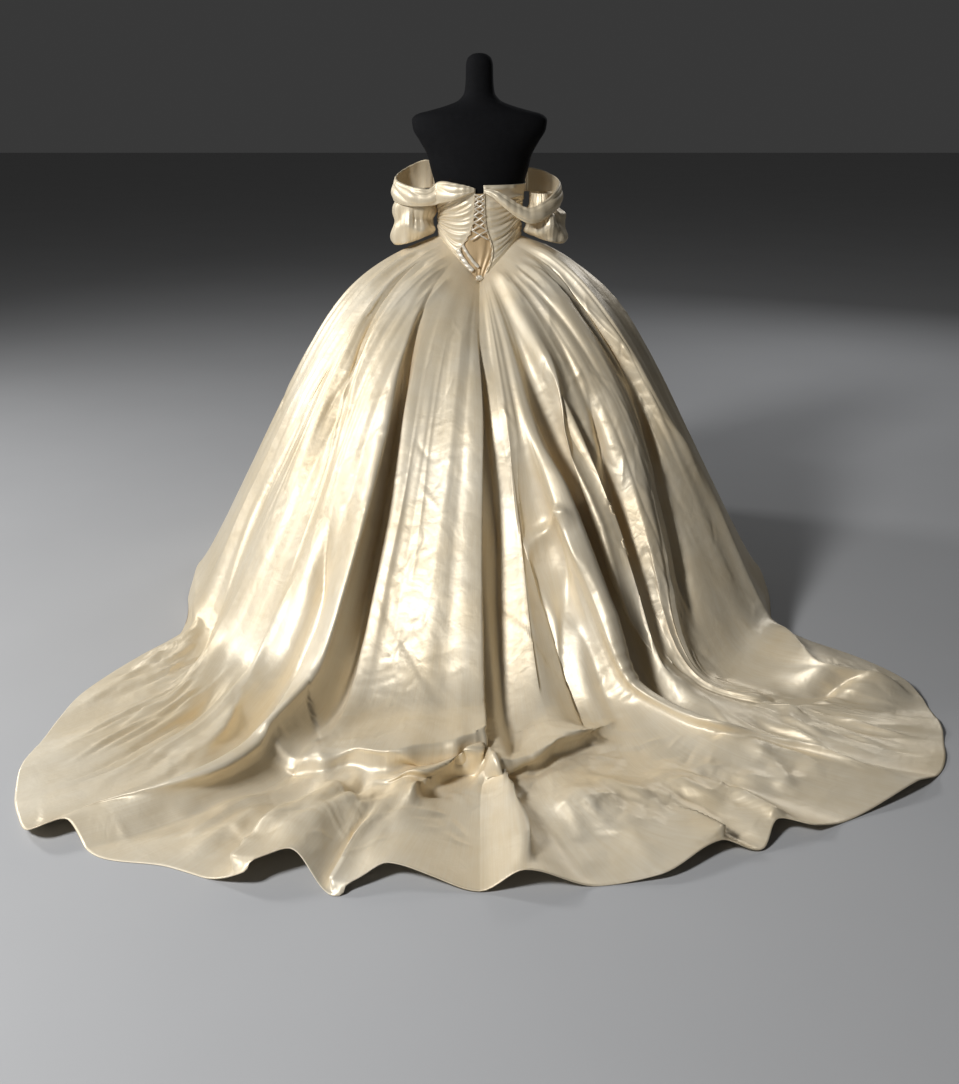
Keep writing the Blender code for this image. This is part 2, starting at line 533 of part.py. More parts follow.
def build_bodice_back(name, side, top):
    """One ruched back panel, from the laced opening to the side seam, in a V below the waist."""
    across = np.linspace(0, 1, 9)[:, None]
    up = np.array(BODICE_ROWS)[None, :]
    shape = (9, len(BODICE_ROWS))
    edge = opening_edge(np.broadcast_to(up, shape), side)
    angle = edge + (BODICE_SIDE_ANGLE - edge) * across
    foot_edge = opening_edge(np.zeros(shape), side)
    foot_angle = foot_edge + (BODICE_SIDE_ANGLE - foot_edge) * across
    foot = waist_height(foot_angle) - BODICE_FOOT_LAP
    height = foot + (top - foot) * up
    angle = angle * side
    inner = on_body(angle, height, BODICE_INNER)
    outer = on_body(angle, height, BODICE_OUTER + ruches(across, up, side))
    trim_side(outer, inner, -1, -2)
    wall_object(name, inner, outer, "satin")


def build_bodice_front():
    """The front of the bodice between the side seams, with soft folds across it."""
    across = np.linspace(-1, 1, 15)[:, None]
    up = np.linspace(0, 1, 12)[None, :]
    span = 180 - BODICE_SIDE_ANGLE
    angle = 180 + across * span + 0 * up
    foot = waist_height(angle) - BODICE_FOOT_LAP
    dip = BODICE_DIP * np.exp(-(across / 0.18) ** 2)
    side_top = np.where(across < 0, BODICE_TOP_LEFT, BODICE_TOP_RIGHT)
    top = side_top + (BODICE_TOP_FRONT - side_top) * smooth((1 - np.abs(across)) / 0.45) - dip
    height = foot + (top - foot) * up
    wave = 0.5 + 0.5 * np.cos(2 * math.pi * (5.5 * up - 1.2 * np.abs(across)))
    fade = smooth((1 - np.abs(across)) / 0.10) * smooth(up / 0.10) * smooth((0.80 - up) / 0.12)
    inner = on_body(angle, height, BODICE_INNER)
    outer = on_body(angle, height, BODICE_OUTER + 0.8 * RUCHE_HEIGHT * wave * fade)
    for column, toward in ((0, 1), (-1, -2)):
        trim_side(outer, inner, column, toward)
    wall_object("bodice_front", inner, outer, "satin")


def build_modesty_panel():
    """The flat panel behind the lacing."""
    across = np.linspace(-1, 1, 9)[:, None]
    up = np.linspace(0, 1, 11)[None, :]
    angle = PANEL_HALF_ANGLE * across * (0.35 + 0.65 * smooth(up / 0.35))
    height = PANEL_BOTTOM + (PANEL_TOP - PANEL_BOTTOM) * up + 0 * across
    inner = on_body(angle, height, REST_GAP + PANEL_EASE)
    outer = on_body(angle, height, REST_GAP + PANEL_EASE + PANEL_WALL)
    wall_object("modesty_panel", inner, outer, "satin_shade")


def band_rows(rows, per_row):
    """The band's sizes along a smooth curve through its rows."""
    sizes = np.array([[r.x, r.y, r.top, r.bottom, r.flare] for r in rows])
    fine = np.linspace(0, len(rows) - 1, (len(rows) - 1) * per_row + 1)
    out = np.empty((len(fine), 5))
    for k, at in enumerate(fine):
        i = min(int(at), len(rows) - 2)
        t = at - i
        p0, p3 = sizes[max(i - 1, 0)], sizes[min(i + 2, len(rows) - 1)]
        p1, p2 = sizes[i], sizes[i + 1]
        out[k] = 0.5 * (2 * p1 + (p2 - p0) * t + (2 * p0 - 5 * p1 + 4 * p2 - p3) * t**2
                        + (3 * p1 - p0 - 3 * p2 + p3) * t**3)
    return out


def band_grid(rows):
    """Inner and outer points of the band: a bulging strip, pushed clear of the bodice."""
    edge = band_rows(rows, BAND_STEPS_PER_ROW)
    along = np.gradient(edge[:, :2], axis=0)
    along /= np.linalg.norm(along, axis=1, keepdims=True)
    outward = np.stack([-along[:, 1], along[:, 0]], axis=1)
    inner = np.empty((len(edge), BAND_ROWS, 3))
    for r in range(BAND_ROWS):
        share = r / (BAND_ROWS - 1)
        push = edge[:, 4] * share + BAND_BULGE * math.sin(math.pi * share) * np.minimum(1, edge[:, 4] / 0.006)
        inner[:, r, :2] = edge[:, :2] + outward * push[:, None]
        inner[:, r, 2] = edge[:, 2] + (edge[:, 3] - edge[:, 2]) * share
    return inner


def clear_of_body(points, offset):
    """Move points that are nearer to the form than offset straight out from its axis."""
    angle = np.degrees(np.arctan2(points[..., 0], points[..., 1]))
    radius = np.hypot(points[..., 0], points[..., 1])
    least = body_radius(angle, points[..., 2]) + offset
    grow = np.maximum(least / radius, 1.0)
    points[..., 0] *= grow
    points[..., 1] *= grow
    return points


def build_collar():
    """The band in three lengths: round each arm, and across the front."""
    full = list(BAND_LEFT) + [BAND_CENTRE] + list(reversed(BAND_RIGHT))
    inner = band_grid(full)
    inner = clear_of_body(inner, BODICE_OUTER + REST_GAP)
    normals = grid_normals(inner, closed=False)
    outer = inner + normals * BAND_WALL
    outer = clear_of_body(outer, BODICE_OUTER + REST_GAP + BAND_WALL)
    cut_left = (len(BAND_LEFT) - 3) * BAND_STEPS_PER_ROW
    cut_right = (len(BAND_LEFT) + 3) * BAND_STEPS_PER_ROW
    spans = (("collar_left", 0, cut_left), ("collar_front", cut_left, cut_right),
             ("collar_right", cut_right, len(inner) - 1))
    for name, first, last in spans:
        part_inner, part_outer = inner[first:last + 1].copy(), outer[first:last + 1].copy()
        for column, toward, end in ((0, 1, first == 0), (-1, -2, last == len(inner) - 1)):
            if not end:
                trim_side(part_outer, part_inner, column, toward)
        wall_object(name, part_inner, part_outer, "satin")


def build_sleeve(name, rings, side):
    """A puff sleeve as an open tube through its rings, gathered where the elastic runs."""
    angle = np.linspace(0, 360, SLEEVE_COLUMNS, endpoint=False)[:, None]
    s, c = np.sin(np.radians(angle)), np.cos(np.radians(angle))
    sizes = np.array(rings)
    out, back, height, wide, deep, slope, gather = (sizes[:, k][None, :] for k in range(7))
    wave = gather * np.cos(np.radians(angle * SLEEVE_GATHERS) + 0.5)
    if side < 0:
        off = turn(angle - DENT_ANGLE) / DENT_WIDTH
        rise = (height - DENT_HEIGHT) / DENT_REACH
        wave = wave - DENT_DEPTH * np.exp(-off**2 - rise**2)
    outer = np.stack([
        side * (out + (wide + wave) * s),
        back + (deep + wave) * c,
        height - slope * wide * s,
    ], axis=-1)
    normals = grid_normals(outer, closed=True) * side
    wall_object(name, outer - normals * SLEEVE_WALL, outer, "satin", closed=True)


def edge_path(side, count):
    """Points up the opening's edge, on the bodice's outer surface."""
    up = np.linspace(0.23 if side > 0 else 0.10, 0.92, count)
    angle = opening_edge(up, side) * side
    foot = waist_height(opening_edge(np.zeros(count), side))
    top = BODICE_TOP_LEFT if side > 0 else BODICE_TOP_RIGHT
    height = foot + (top - foot) * up
    return angle, height


def tube(name, points, radius, finish, resolution=1):
    """A cord as a curve with round caps, welded into one mesh."""
    curve = bpy.data.curves.new(name, "CURVE")
    curve.dimensions = "3D"
    curve.bevel_depth = radius
    curve.bevel_resolution = resolution
    curve.use_fill_caps = True
    spline = curve.splines.new("POLY")
    spline.points.add(len(points) - 1)
    for point, place in zip(spline.points, points):
        point.co = (*place, 1.0)
    piece = bpy.data.objects.new(name, curve)
    dress.objects.link(piece)
    curve.materials.append(material(name, finish))
    weld = piece.modifiers.new("Weld", "WELD")
    weld.merge_threshold = 0.00001
    return piece


def build_loops(name, side):
    """The row of button loops: one cord that bows out into the opening at each loop."""
    per_loop = 4
    count = LOOP_COUNT * per_loop + 1
    angle, height = edge_path(side, count)
    swing = 0.5 - 0.5 * np.cos(np.linspace(0, 2 * math.pi * LOOP_COUNT, count))
    inward = LOOP_INSET - LOOP_REACH * swing
    turned = angle + side * np.degrees(inward / BACK_RADIUS)
    places = on_body(turned, height, BODICE_OUTER + LOOP_GAP + LOOP_CORD_RADIUS)
    tube(name, places, LOOP_CORD_RADIUS, "satin", resolution=0)


def ribbon(name, turns, width, finish, steps=3):
    """A flat ribbon over the loops, straight from each turn to the next."""
    count = (len(turns) - 1) * steps + 1
    fine = np.linspace(0, len(turns) - 1, count)
    angle = np.interp(fine, range(len(turns)), [t.angle for t in turns])
    height = np.interp(fine, range(len(turns)), [t.height for t in turns])
    offset = BODICE_OUTER + LOOP_GAP + 2 * LOOP_CORD_RADIUS + SEAM_GAP
    along = np.stack([np.gradient(np.radians(angle) * BACK_RADIUS), np.gradient(height)], axis=1)
    along /= np.linalg.norm(along, axis=1, keepdims=True)
    inner = np.empty((count, 2, 3))
    outer = np.empty((count, 2, 3))
    for column, share in enumerate((-0.5, 0.5)):
        edge_angle = angle + np.degrees(-along[:, 1] * width * share / BACK_RADIUS)
        edge_height = height + along[:, 0] * width * share
        inner[:, column] = on_body(edge_angle, edge_height, offset)
        outer[:, column] = on_body(edge_angle, edge_height, offset + RIBBON_WALL)
    wall_object(name, inner, outer, finish)


def build_lacing():
    """The laced ribbon, its two free ends across the wide part of the opening, and the knot."""
    ribbon("lacing", LACING_TURNS, RIBBON_WIDTH, "ribbon")
    ribbon("ribbon_end_long", END_LONG_TURNS, RIBBON_WIDE, "ribbon")
    ribbon("ribbon_end_short", END_SHORT_TURNS, RIBBON_SHORT_WIDE, "ribbon")
    mesh = bmesh.new()
    bmesh.ops.create_uvsphere(mesh, u_segments=10, v_segments=6, radius=1.0)
    for vert in mesh.verts:
        vert.co.x *= KNOT_SIZE[0]
        vert.co.y *= KNOT_SIZE[1]
        vert.co.z *= KNOT_SIZE[2]
    knot = finish_object("lacing_knot", mesh, "ribbon")
    seat = on_body(np.array([0.0]), np.array([KNOT_HEIGHT]), BODICE_OUTER + KNOT_STAND + KNOT_SIZE[1])[0]
    knot.location = seat


def build_form():
    """The dress form's torso with its neck, standing on a pole and a round base."""
    angle = np.linspace(0, 360, FORM_COLUMNS, endpoint=False)
    mesh = bmesh.new()
    bands = []
    heights = [BODY[0].height]
    for row, following in zip(BODY, BODY[1:]):
        steps = math.ceil((following.height - row.height) / FORM_STEP)
        heights += [row.height + (following.height - row.height) * k / steps for k in range(1, steps + 1)]
    for height in heights:
        points = on_body(angle, np.full(FORM_COLUMNS, height), 0.0)
        bands.append([mesh.verts.new(p) for p in points])
    top = mesh.verts.new((0, 0, FORM_TOP))
    bottom = mesh.verts.new((0, 0, FORM_BOTTOM))
    for c in range(FORM_COLUMNS):
        d = (c + 1) % FORM_COLUMNS
        for low, high in zip(bands[:-1], bands[1:]):
            mesh.faces.new((low[c], high[c], high[d], low[d]))
        mesh.faces.new((bands[-1][c], top, bands[-1][d]))
        mesh.faces.new((bands[0][d], bottom, bands[0][c]))
    face_outwards(mesh)
    finish_object("form_torso", mesh, "form_cloth")
    cylinder("form_pole", POLE_RADIUS, BASE_HEIGHT + REST_GAP, FORM_BOTTOM - REST_GAP, 16)
    base = cylinder("form_base", BASE_RADIUS, 0.0, BASE_HEIGHT, 40)
    edge = base.modifiers.new("Bevel", "BEVEL")
    edge.width = 0.003
    edge.segments = 2
    edge.limit_method = "ANGLE"


def cylinder(name, radius, low, high, sides):
    bpy.ops.mesh.primitive_cylinder_add(vertices=sides, radius=radius, depth=high - low,
                                        location=(0, 0, (low + high) / 2))
    piece = bpy.context.object
    piece.name = piece.data.name = name
    for collection in piece.users_collection:
        collection.objects.unlink(piece)
    dress.objects.link(piece)
    piece.data.materials.append(material(name, "stand_metal"))
    piece.data.shade_smooth()
    piece.data.set_sharp_from_angle(angle=math.radians(40))
    return piece


for old in list(bpy.data.objects):
    bpy.data.objects.remove(old, do_unlink=True)
dress = bpy.data.collections.new("princess_dress")
bpy.context.scene.collection.children.link(dress)

build_form()
build_skirt()
build_bodice_back("bodice_back_left", 1, BODICE_TOP_LEFT)
build_bodice_back("bodice_back_right", -1, BODICE_TOP_RIGHT)
build_bodice_front()
build_modesty_panel()
build_collar()
build_sleeve("sleeve_left", SLEEVE_LEFT, 1)
build_sleeve("sleeve_right", SLEEVE_RIGHT, -1)
build_loops("loops_left", 1)
build_loops("loops_right", -1)
build_lacing()
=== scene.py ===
"""Looks for the princess dress on its dress form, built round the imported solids.

Units are metres and +Z is up. The origin is on the floor under the axis of the
dress form. +Y is the back of the dress, where the train lies, and +X is the
wearer's left. An angle round the form is in degrees, 0 at the centre back and
90 at +X. Along the skirt a level is 0 at the waist seam, 1 where the cloth
meets the floor and 2 at the hem.
"""

import math
from collections import namedtuple

import bpy
import numpy as np
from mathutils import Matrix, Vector


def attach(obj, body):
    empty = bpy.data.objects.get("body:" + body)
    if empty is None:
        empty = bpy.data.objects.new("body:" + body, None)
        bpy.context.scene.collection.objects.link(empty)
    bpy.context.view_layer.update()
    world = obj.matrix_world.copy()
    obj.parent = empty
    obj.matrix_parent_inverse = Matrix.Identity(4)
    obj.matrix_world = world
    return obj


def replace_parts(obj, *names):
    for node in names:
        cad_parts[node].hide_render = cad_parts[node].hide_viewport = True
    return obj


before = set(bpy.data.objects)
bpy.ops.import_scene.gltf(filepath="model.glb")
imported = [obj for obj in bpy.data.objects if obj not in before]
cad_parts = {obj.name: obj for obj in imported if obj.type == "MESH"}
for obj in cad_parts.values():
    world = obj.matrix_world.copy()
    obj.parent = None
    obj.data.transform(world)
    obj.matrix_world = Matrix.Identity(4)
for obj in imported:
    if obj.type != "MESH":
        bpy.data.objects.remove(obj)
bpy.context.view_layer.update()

# Driving dimensions
WAIST_HEIGHT = 1.09
BACK_POINT_DROP = 0.124   # how far the waist seam drops to its point at the centre back
FRONT_POINT_DROP = 0.060
POINT_SPREAD = 75.0       # degrees from the point to the level part of the seam
DOME_RISE = 0.223         # how far petticoats push the skirt out just below the waist
DOME_DEPTH = 0.10
FLOOR_RADIUS_FRONT = 0.79  # where the cloth meets the floor, from the axis
FLOOR_RADIUS_TRAIN = 0.31  # more than that at the centre back
TRAIN_SPREAD = 1.6         # how quickly that dies away towards the sides
FLOOR_CORNER = 0.06        # how softly the cloth turns from the slope to the floor
FLOOR_CORNER_TRAIN = 0.07  # more than that at the centre back
LEVEL_LENGTH = 0.8         # metres of train from one level to the next
SKIRT_WALL = 0.0025
BODICE_WALL = 0.0020
BAND_WALL = 0.0020
SLEEVE_WALL = 0.0015
PANEL_WALL = 0.0012
SEAM_GAP = 0.0004
REST_GAP = 0.0008          # between pieces whose facets run differently
WAIST_GAP = 0.0014         # the same, round the waist seam
BODICE_TOP_LEFT = 1.240
BODICE_TOP_RIGHT = 1.250
BODICE_TOP_FRONT = 1.262
BODICE_SIDE_ANGLE = 80.0
BODICE_FOOT_LAP = 0.001    # how far the bodice reaches below the waist seam
BODICE_DIP = 0.018         # how far its top edge dips at the centre front
BACK_RADIUS = 0.112        # about the distance from the axis to the laced opening
RUCHE_HEIGHT = 0.0045
RUCHE_FOLDS = 6.5
PANEL_TOP = 1.225
PANEL_HALF_ANGLE = 42.0
PANEL_EASE = 0.0002        # room for the facets behind the panel
LOOP_CORD_RADIUS = 0.0012
LOOP_GAP = 0.0015
LOOP_REACH = 0.0050
LOOP_INSET = 0.0020
LOOP_COUNT = 11
RIBBON_WIDE = 0.0125
RIBBON_SHORT_WIDE = 0.0091
RIBBON_WALL = 0.0010
KNOT_SIZE = (0.011, 0.006, 0.008)
KNOT_HEIGHT = 0.9815
KNOT_STAND = 0.0015         # the knot rests on the skirt's top edge, which stands this far out

# Levels at which the fold table gives angles and heights
FOLD_LEVELS = (0.0, 0.1, 0.25, 0.5, 0.75, 1.0, 1.4, 2.0)

# One row for each crest or valley of the skirt's back, from the right side to the left side:
# its name, and its angle and its height in mm at each fold level
Fold = namedtuple("Fold", "name angles heights")
BACK_FOLDS = (
    Fold("right_seam", (-76, -73, -71, -70, -69, -66, -63, -62), (0, 4, -6, -10, -6, 0, 0, 0)),
    Fold("right_ridge", (-66, -63, -60.5, -57, -58, -53.5, -47, -52), (0, 14, 14, 26, 34, 42, 50, 26)),
    Fold("right_gully", (-58, -57, -55, -53, -44, -35, -41.5, -48.5), (0, -4, -22, -14, -22, -16, 0, 0)),
    Fold("right_crest_3", (-42, -42, -42, -41, -36, -32.7, -39.5, -46), (0, 8, 14, 20, 24, 4, 5, 10)),
    Fold("right_slit", (-25, -26, -27, -29, -29, -31, -37.5, -44), (0, 0, 0, -4, -12, -8, 0, 0)),
    Fold("right_crest_2", (-20, -20, -21, -24.5, -26.7, -28, -33, -42), (0, 6, 12, 26, 28, 20, 10, 4)),
    Fold("right_dip", (-13.5, -14.2, -16, -20, -24, -24.6, -29.5, -39.5), (0, -4, -9, -24, -42, -28, 2, 0)),
    Fold("right_roll", (-8.5, -9.5, -11, -13.4, -17.2, -21.2, -25.8, -35.8), (0, 3, 6, 12, 30, 42, 48, 22)),
    Fold("right_train", (-7.5, -8.4, -9.7, -11.8, -15.2, -19.2, -20.5, -28), (0, 3, 4, 9, 2, 8, 12, 0)),
    Fold("right_pit", (-6.5, -7.2, -8.3, -10.2, -13.4, -17.3, -15.5, -22.6), (0, 3, 3, 4, -14, -16, 2, 34)),
    Fold("right_shelf", (-5.4, -5.9, -6.8, -8.6, -11, -12.8, -12, -20.2), (0, 3, 4, 7, 4, 4, 16, 4)),
    Fold("right_panel", (-4.2, -4.6, -5.4, -6.8, -8, -8, -8, -17.4), (0, 3, 5, 10, 12, 16, 24, 32)),
    Fold("right_apron", (-2.8, -3.1, -3.6, -4.5, -5, -5, -5, -8), (0, 1, 3, 6, 2, 2, 12, 0)),
    Fold("right_hem_wave", (-1.4, -1.5, -1.8, -2.2, -2.5, -2.5, -2.5, -3.0), (0, 0, 0, 0, -10, -12, 6, 50)),
    Fold("centre_seam", (0, 0, 0, 0, 0, 0, 0, 0), (0, 0, -2, -6, -20, -22, 2, 2)),
    Fold("left_hem_wave", (3, 3, 3.5, 3.8, 4, 4, 4, 6.2), (0, 2, 2, 4, 0, 0, 12, 40)),
    Fold("left_panel", (6, 6, 7, 7.5, 8, 8, 8, 9.3), (0, 4, 6, 10, 12, 14, 22, 0)),
    Fold("left_wave", (16, 15, 14, 13, 12, 12, 12, 12.8), (0, 3, 4, 4, 6, 6, 20, 62)),
    Fold("left_apron", (25, 23, 20.6, 17.5, 15.5, 15.3, 15.2, 18.5), (0, 1, -2, -8, -6, -4, 10, 0)),
    Fold("left_slit", (34, 31, 27.2, 22, 19.3, 18.6, 18.2, 27.2), (0, 0, -6, -14, -16, -12, 0, 0)),
    Fold("left_roll", (37, 33, 28.6, 25.0, 22.6, 22, 22, 29.6), (0, 2, 10, 52, 88, 98, 85, 46)),
    Fold("left_cup", (39, 35, 31, 28.8, 26.5, 26.8, 25.5, 32.5), (0, 3, 12, 42, 62, 54, 26, 14)),
    Fold("left_roll_2", (43, 40, 36, 33, 30, 30.5, 29.5, 35), (0, 5, 14, 34, 64, 64, 52, 16)),
    Fold("left_groove", (56, 54, 50.5, 42.5, 35.3, 34.4, 32.5, 37), (0, 0, -6, -8, 26, 32, 24, 8)),
    Fold("left_crest_3", (60, 56.5, 52.5, 48.5, 44, 43.5, 36.8, 39.2), (0, 6, 14, 22, 40, 48, 34, 20)),
    Fold("left_gully", (64, 60, 57, 57, 57, 49, 42, 43), (0, -10, -14, -12, -6, 6, 0, 0)),
    Fold("left_crest_4", (70, 67, 64, 63, 63, 55, 48, 48), (0, 4, 10, 14, 18, 30, 22, 12)),
    Fold("left_seam", (76, 73, 71, 70, 69, 66, 63, 62), (0, 0, -6, -8, -6, 0, 0, 0)),
)
SEAM_FOLDS = ("right_seam", "centre_seam", "left_seam")

# The sides and front repeat like folds: alternate crests and valleys, even enough to compute
FRONT_FOLD_COUNT = 18
FRONT_CREST_MM = 17.0
FRONT_VALLEY_MM = -9.0
FRONT_FOLDS_PER_PANEL = 6
FRONT_FOLD_WANDER = 1.6    # degrees

# Where the hem lies: radius from the axis by angle
Hem = namedtuple("Hem", "angle radius")
HEM_LINE = (
    Hem(-180, .82), Hem(-150, .84), Hem(-120, .87), Hem(-92, .92), Hem(-72, .97), Hem(-60, 1.03),
    Hem(-56.5, 1.12), Hem(-54.3, 1.30), Hem(-50.3, 1.52), Hem(-44.5, 1.65), Hem(-38.5, 1.722),
    Hem(-30.5, 1.724), Hem(-25.0, 1.725), Hem(-22.6, 1.690), Hem(-20.2, 1.735), Hem(-17.4, 1.712),
    Hem(-12, 1.763), Hem(-3, 1.760), Hem(0, 1.765), Hem(3, 1.745), Hem(6.2, 1.730), Hem(9.3, 1.800),
    Hem(12.8, 1.750), Hem(15.5, 1.815), Hem(21, 1.804), Hem(26, 1.835), Hem(29.3, 1.810),
    Hem(31.5, 1.860), Hem(34, 1.829), Hem(37.5, 1.76), Hem(42.2, 1.62), Hem(47.5, 1.44),
    Hem(52.6, 1.22), Hem(57, 1.06), Hem(72, .97), Hem(92, .92), Hem(120, .87), Hem(150, .84), Hem(180, .82),
)

# Rolls of cloth that lie across the train where the back panels slump on the floor
CrossFold = namedtuple("CrossFold", "name angles levels height_mm rise_width fall_width")
CROSS_FOLDS = (
    CrossFold("left_slump", (21, 10.5, 0.0), (1.40, 1.37, 1.20), 34, .24, .03),
    CrossFold("left_small_roll", (7.5, 4.0, 0.6), (1.52, 1.42, 1.30), 12, .05, .035),
    CrossFold("right_slump", (0.0, -6.5, -15.5), (1.37, 1.30, 1.12), 34, .22, .03),
    CrossFold("train_roll_left", (17, 11, 6), (1.72, 1.64, 1.60), 20, .07, .07),
    CrossFold("train_roll_right", (-6, -13, -20), (1.62, 1.58, 1.66), 22, .08, .07),
)

# The body under the dress, by height: half width, depth to the back, depth to the front
Body = namedtuple("Body", "height half_width back front")
BODY = (
    Body(.900, .150, .112, .105), Body(.930, .158, .119, .110), Body(.980, .150, .115, .105),
    Body(1.040, .133, .103, .099), Body(1.090, .1238, .098, .098), Body(1.140, .1225, .098, .108),
    Body(1.190, .1260, .101, .124), Body(1.240, .1340, .105, .130), Body(1.290, .148, .106, .121),
    Body(1.330, .158, .104, .108), Body(1.370, .180, .098, .098), Body(1.405, .200, .088, .089),
    Body(1.430, .203, .077, .078), Body(1.446, .188, .070, .070), Body(1.456, .150, .063, .063),
    Body(1.468, .105, .056, .056), Body(1.485, .062, .049, .049), Body(1.508, .045, .043, .043),
    Body(1.545, .041, .040, .040), Body(1.582, .040, .039, .039), Body(1.602, .034, .033, .033),
    Body(1.612, .020, .020, .020),
)
FORM_TOP = 1.615
FORM_BOTTOM = 0.895

# The back opening, from its foot to the top: distance of each edge from the centre line
Opening = namedtuple("Opening", "share left right")
OPENING = (
    Opening(0.00, .004, .004), Opening(.12, .030, .022), Opening(.24, .058, .036),
    Opening(.33, .060, .040), Opening(.44, .044, .032), Opening(.56, .026, .020),
    Opening(.70, .017, .015), Opening(1.0, .012, .012),
)

# Where the lacing ribbon and its two free ends turn, by angle and height
Turn = namedtuple("Turn", "angle height")
LACING_TURNS = (
    Turn(7, 1.224), Turn(-6.5, 1.211), Turn(7.5, 1.197), Turn(-7.5, 1.182), Turn(9, 1.163),
    Turn(-9, 1.143), Turn(12, 1.120), Turn(-14, 1.092),
)
END_LONG_TURNS = (Turn(35, 1.062), Turn(27, 1.040), Turn(18, 1.018), Turn(9, 1.002))
END_SHORT_TURNS = (Turn(27, 1.075), Turn(19, 1.052), Turn(10, 1.030), Turn(1, 1.012))

# The off-shoulder band, along its way from the back opening round one arm to the front
Band = namedtuple("Band", "x y top bottom flare")
BAND_LEFT = (
    Band(.014, .110, 1.241, 1.232, .001), Band(.040, .109, 1.248, 1.221, .005),
    Band(.070, .104, 1.254, 1.208, .010), Band(.100, .092, 1.259, 1.200, .013),
    Band(.125, .078, 1.256, 1.194, .014), Band(.150, .083, 1.238, 1.190, .008),
    Band(.178, .084, 1.241, 1.188, .006), Band(.208, .075, 1.245, 1.189, .010),
    Band(.238, .044, 1.254, 1.194, .011), Band(.253, .000, 1.263, 1.200, .009),
    Band(.246, -.038, 1.276, 1.206, .006), Band(.222, -.067, 1.291, 1.214, .006),
    Band(.192, -.081, 1.305, 1.222, .006), Band(.163, -.083, 1.312, 1.228, .006),
    Band(.140, -.090, 1.304, 1.226, .008), Band(.100, -.122, 1.290, 1.220, .010),
    Band(.050, -.142, 1.277, 1.210, .012),
)
BAND_CENTRE = Band(0.0, -.148, 1.270, 1.204, .012)
BAND_RIGHT = (
    Band(-.014, .110, 1.238, 1.229, .001), Band(-.045, .110, 1.235, 1.212, .005),
    Band(-.078, .110, 1.220, 1.184, .012), Band(-.114, .107, 1.197, 1.156, .010),
    Band(-.152, .101, 1.184, 1.140, .008), Band(-.190, .085, 1.200, 1.150, .006),
    Band(-.224, .050, 1.226, 1.172, .006), Band(-.242, .000, 1.248, 1.186, .006),
    Band(-.236, -.038, 1.262, 1.197, .006), Band(-.214, -.066, 1.274, 1.208, .006),
    Band(-.184, -.080, 1.284, 1.214, .006), Band(-.145, -.090, 1.290, 1.218, .008),
    Band(-.100, -.122, 1.284, 1.216, .010), Band(-.050, -.142, 1.275, 1.209, .012),
)
BAND_BULGE = 0.006

# Sleeve rings from the top edge to the cuff: centre distance from the axis, centre y, height,
# half width, half depth, slope (drop towards the outer side) and gather depth
Ring = namedtuple("Ring", "out back height half_width half_depth slope gather")
SLEEVE_LEFT = (
    Ring(.200, -.002, 1.226, .0490, .069, .00, .0025), Ring(.200, .000, 1.204, .0545, .0717, .02, .0025),
    Ring(.201, .003, 1.182, .0630, .074, .04, .0015), Ring(.202, .004, 1.160, .0635, .075, .06, .0035),
    Ring(.202, .004, 1.142, .0620, .072, .08, .0050), Ring(.204, .004, 1.124, .0645, .075, .12, .0030),
    Ring(.206, .004, 1.104, .0660, .077, .20, .0012), Ring(.207, .004, 1.086, .0600, .071, .26, .0020),
    Ring(.208, .004, 1.080, .0450, .056, .28, .0030), Ring(.207, .004, 1.089, .0400, .050, .28, .0025),
)
SLEEVE_RIGHT = (
    Ring(.190, -.006, 1.222, .036, .056, .00, .0020), Ring(.192, -.004, 1.202, .040, .058, .02, .0025),
    Ring(.195, .000, 1.182, .041, .059, .04, .0028), Ring(.202, .003, 1.162, .0615, .070, .06, .0045),
    Ring(.203, .003, 1.140, .0640, .074, .08, .0045), Ring(.203, .003, 1.120, .0640, .074, .12, .0035),
    Ring(.205, .003, 1.102, .0650, .074, .18, .0022), Ring(.206, .003, 1.089, .0600, .069, .24, .0020),
    Ring(.207, .003, 1.083, .0450, .056, .26, .0030), Ring(.206, .003, 1.092, .0400, .050, .26, .0025),
)
SLEEVE_GATHERS = 13
DENT_ANGLE, DENT_WIDTH = 48.0, 24.0  # the right puff is pushed in on its outer back side
DENT_HEIGHT, DENT_REACH, DENT_DEPTH = 1.148, 0.024, 0.016

# Points of the shown pieces' grids, as columns and rows
BODICE_BACK_GRID = (80, 160)
BODICE_FRONT_GRID = (150, 90)
PANEL_GRID = (64, 80)
SLEEVE_GRID = (168, 64)
KNOT_GRID = (48, 30)
FORM_GRID = (128, 150)

# Steps along each loop, from one turn of a ribbon to the next, and along each kind of crease
LOOP_STEPS, RIBBON_STEPS, RIBBON_COLUMNS = 16, 14, 9
CREASE_STEPS, FAN_STEPS, CRUMPLE_STEPS = 40, 16, 7

# Fineness and finish of the skirt
BACK_COLUMN_DEGREES = 0.44  # for folds that start within BACK_HALF_ANGLE of the centre back
BACK_HALF_ANGLE = 75.0
FRONT_COLUMN_DEGREES = 0.72
ROWS_STANDING = 205
ROWS_ON_FLOOR = 130
WAIST_TUCK = 0.0034         # how far the skirt's top edge is tucked in towards the bodice
TURNED_HEM = 0.040          # width of the turned hem that shows where the edge lifts
TURNED_ROWS = 8             # rows of the grid that it may span
HEM_CLEARANCE = 0.0006      # from the floor to the inside of the cloth
ROLL_LEAN = 0.4             # how far the rolls across the train lean towards the hem
CRUSH_EVERYWHERE = 0.32     # how crumpled the plain parts are, from 0 to 1
LEAN_BLEND = 0.03           # how far off a bend still turns the way a crease leans
CREASE_REACH = 2.6          # how many widths from its line a crease is worked out
CREASE_END = 0.3            # share of its length over which each end of a crease dies away
CRUMPLE_WIDTHS = (0.005, 0.012)  # metres, the narrowest and the widest small crease

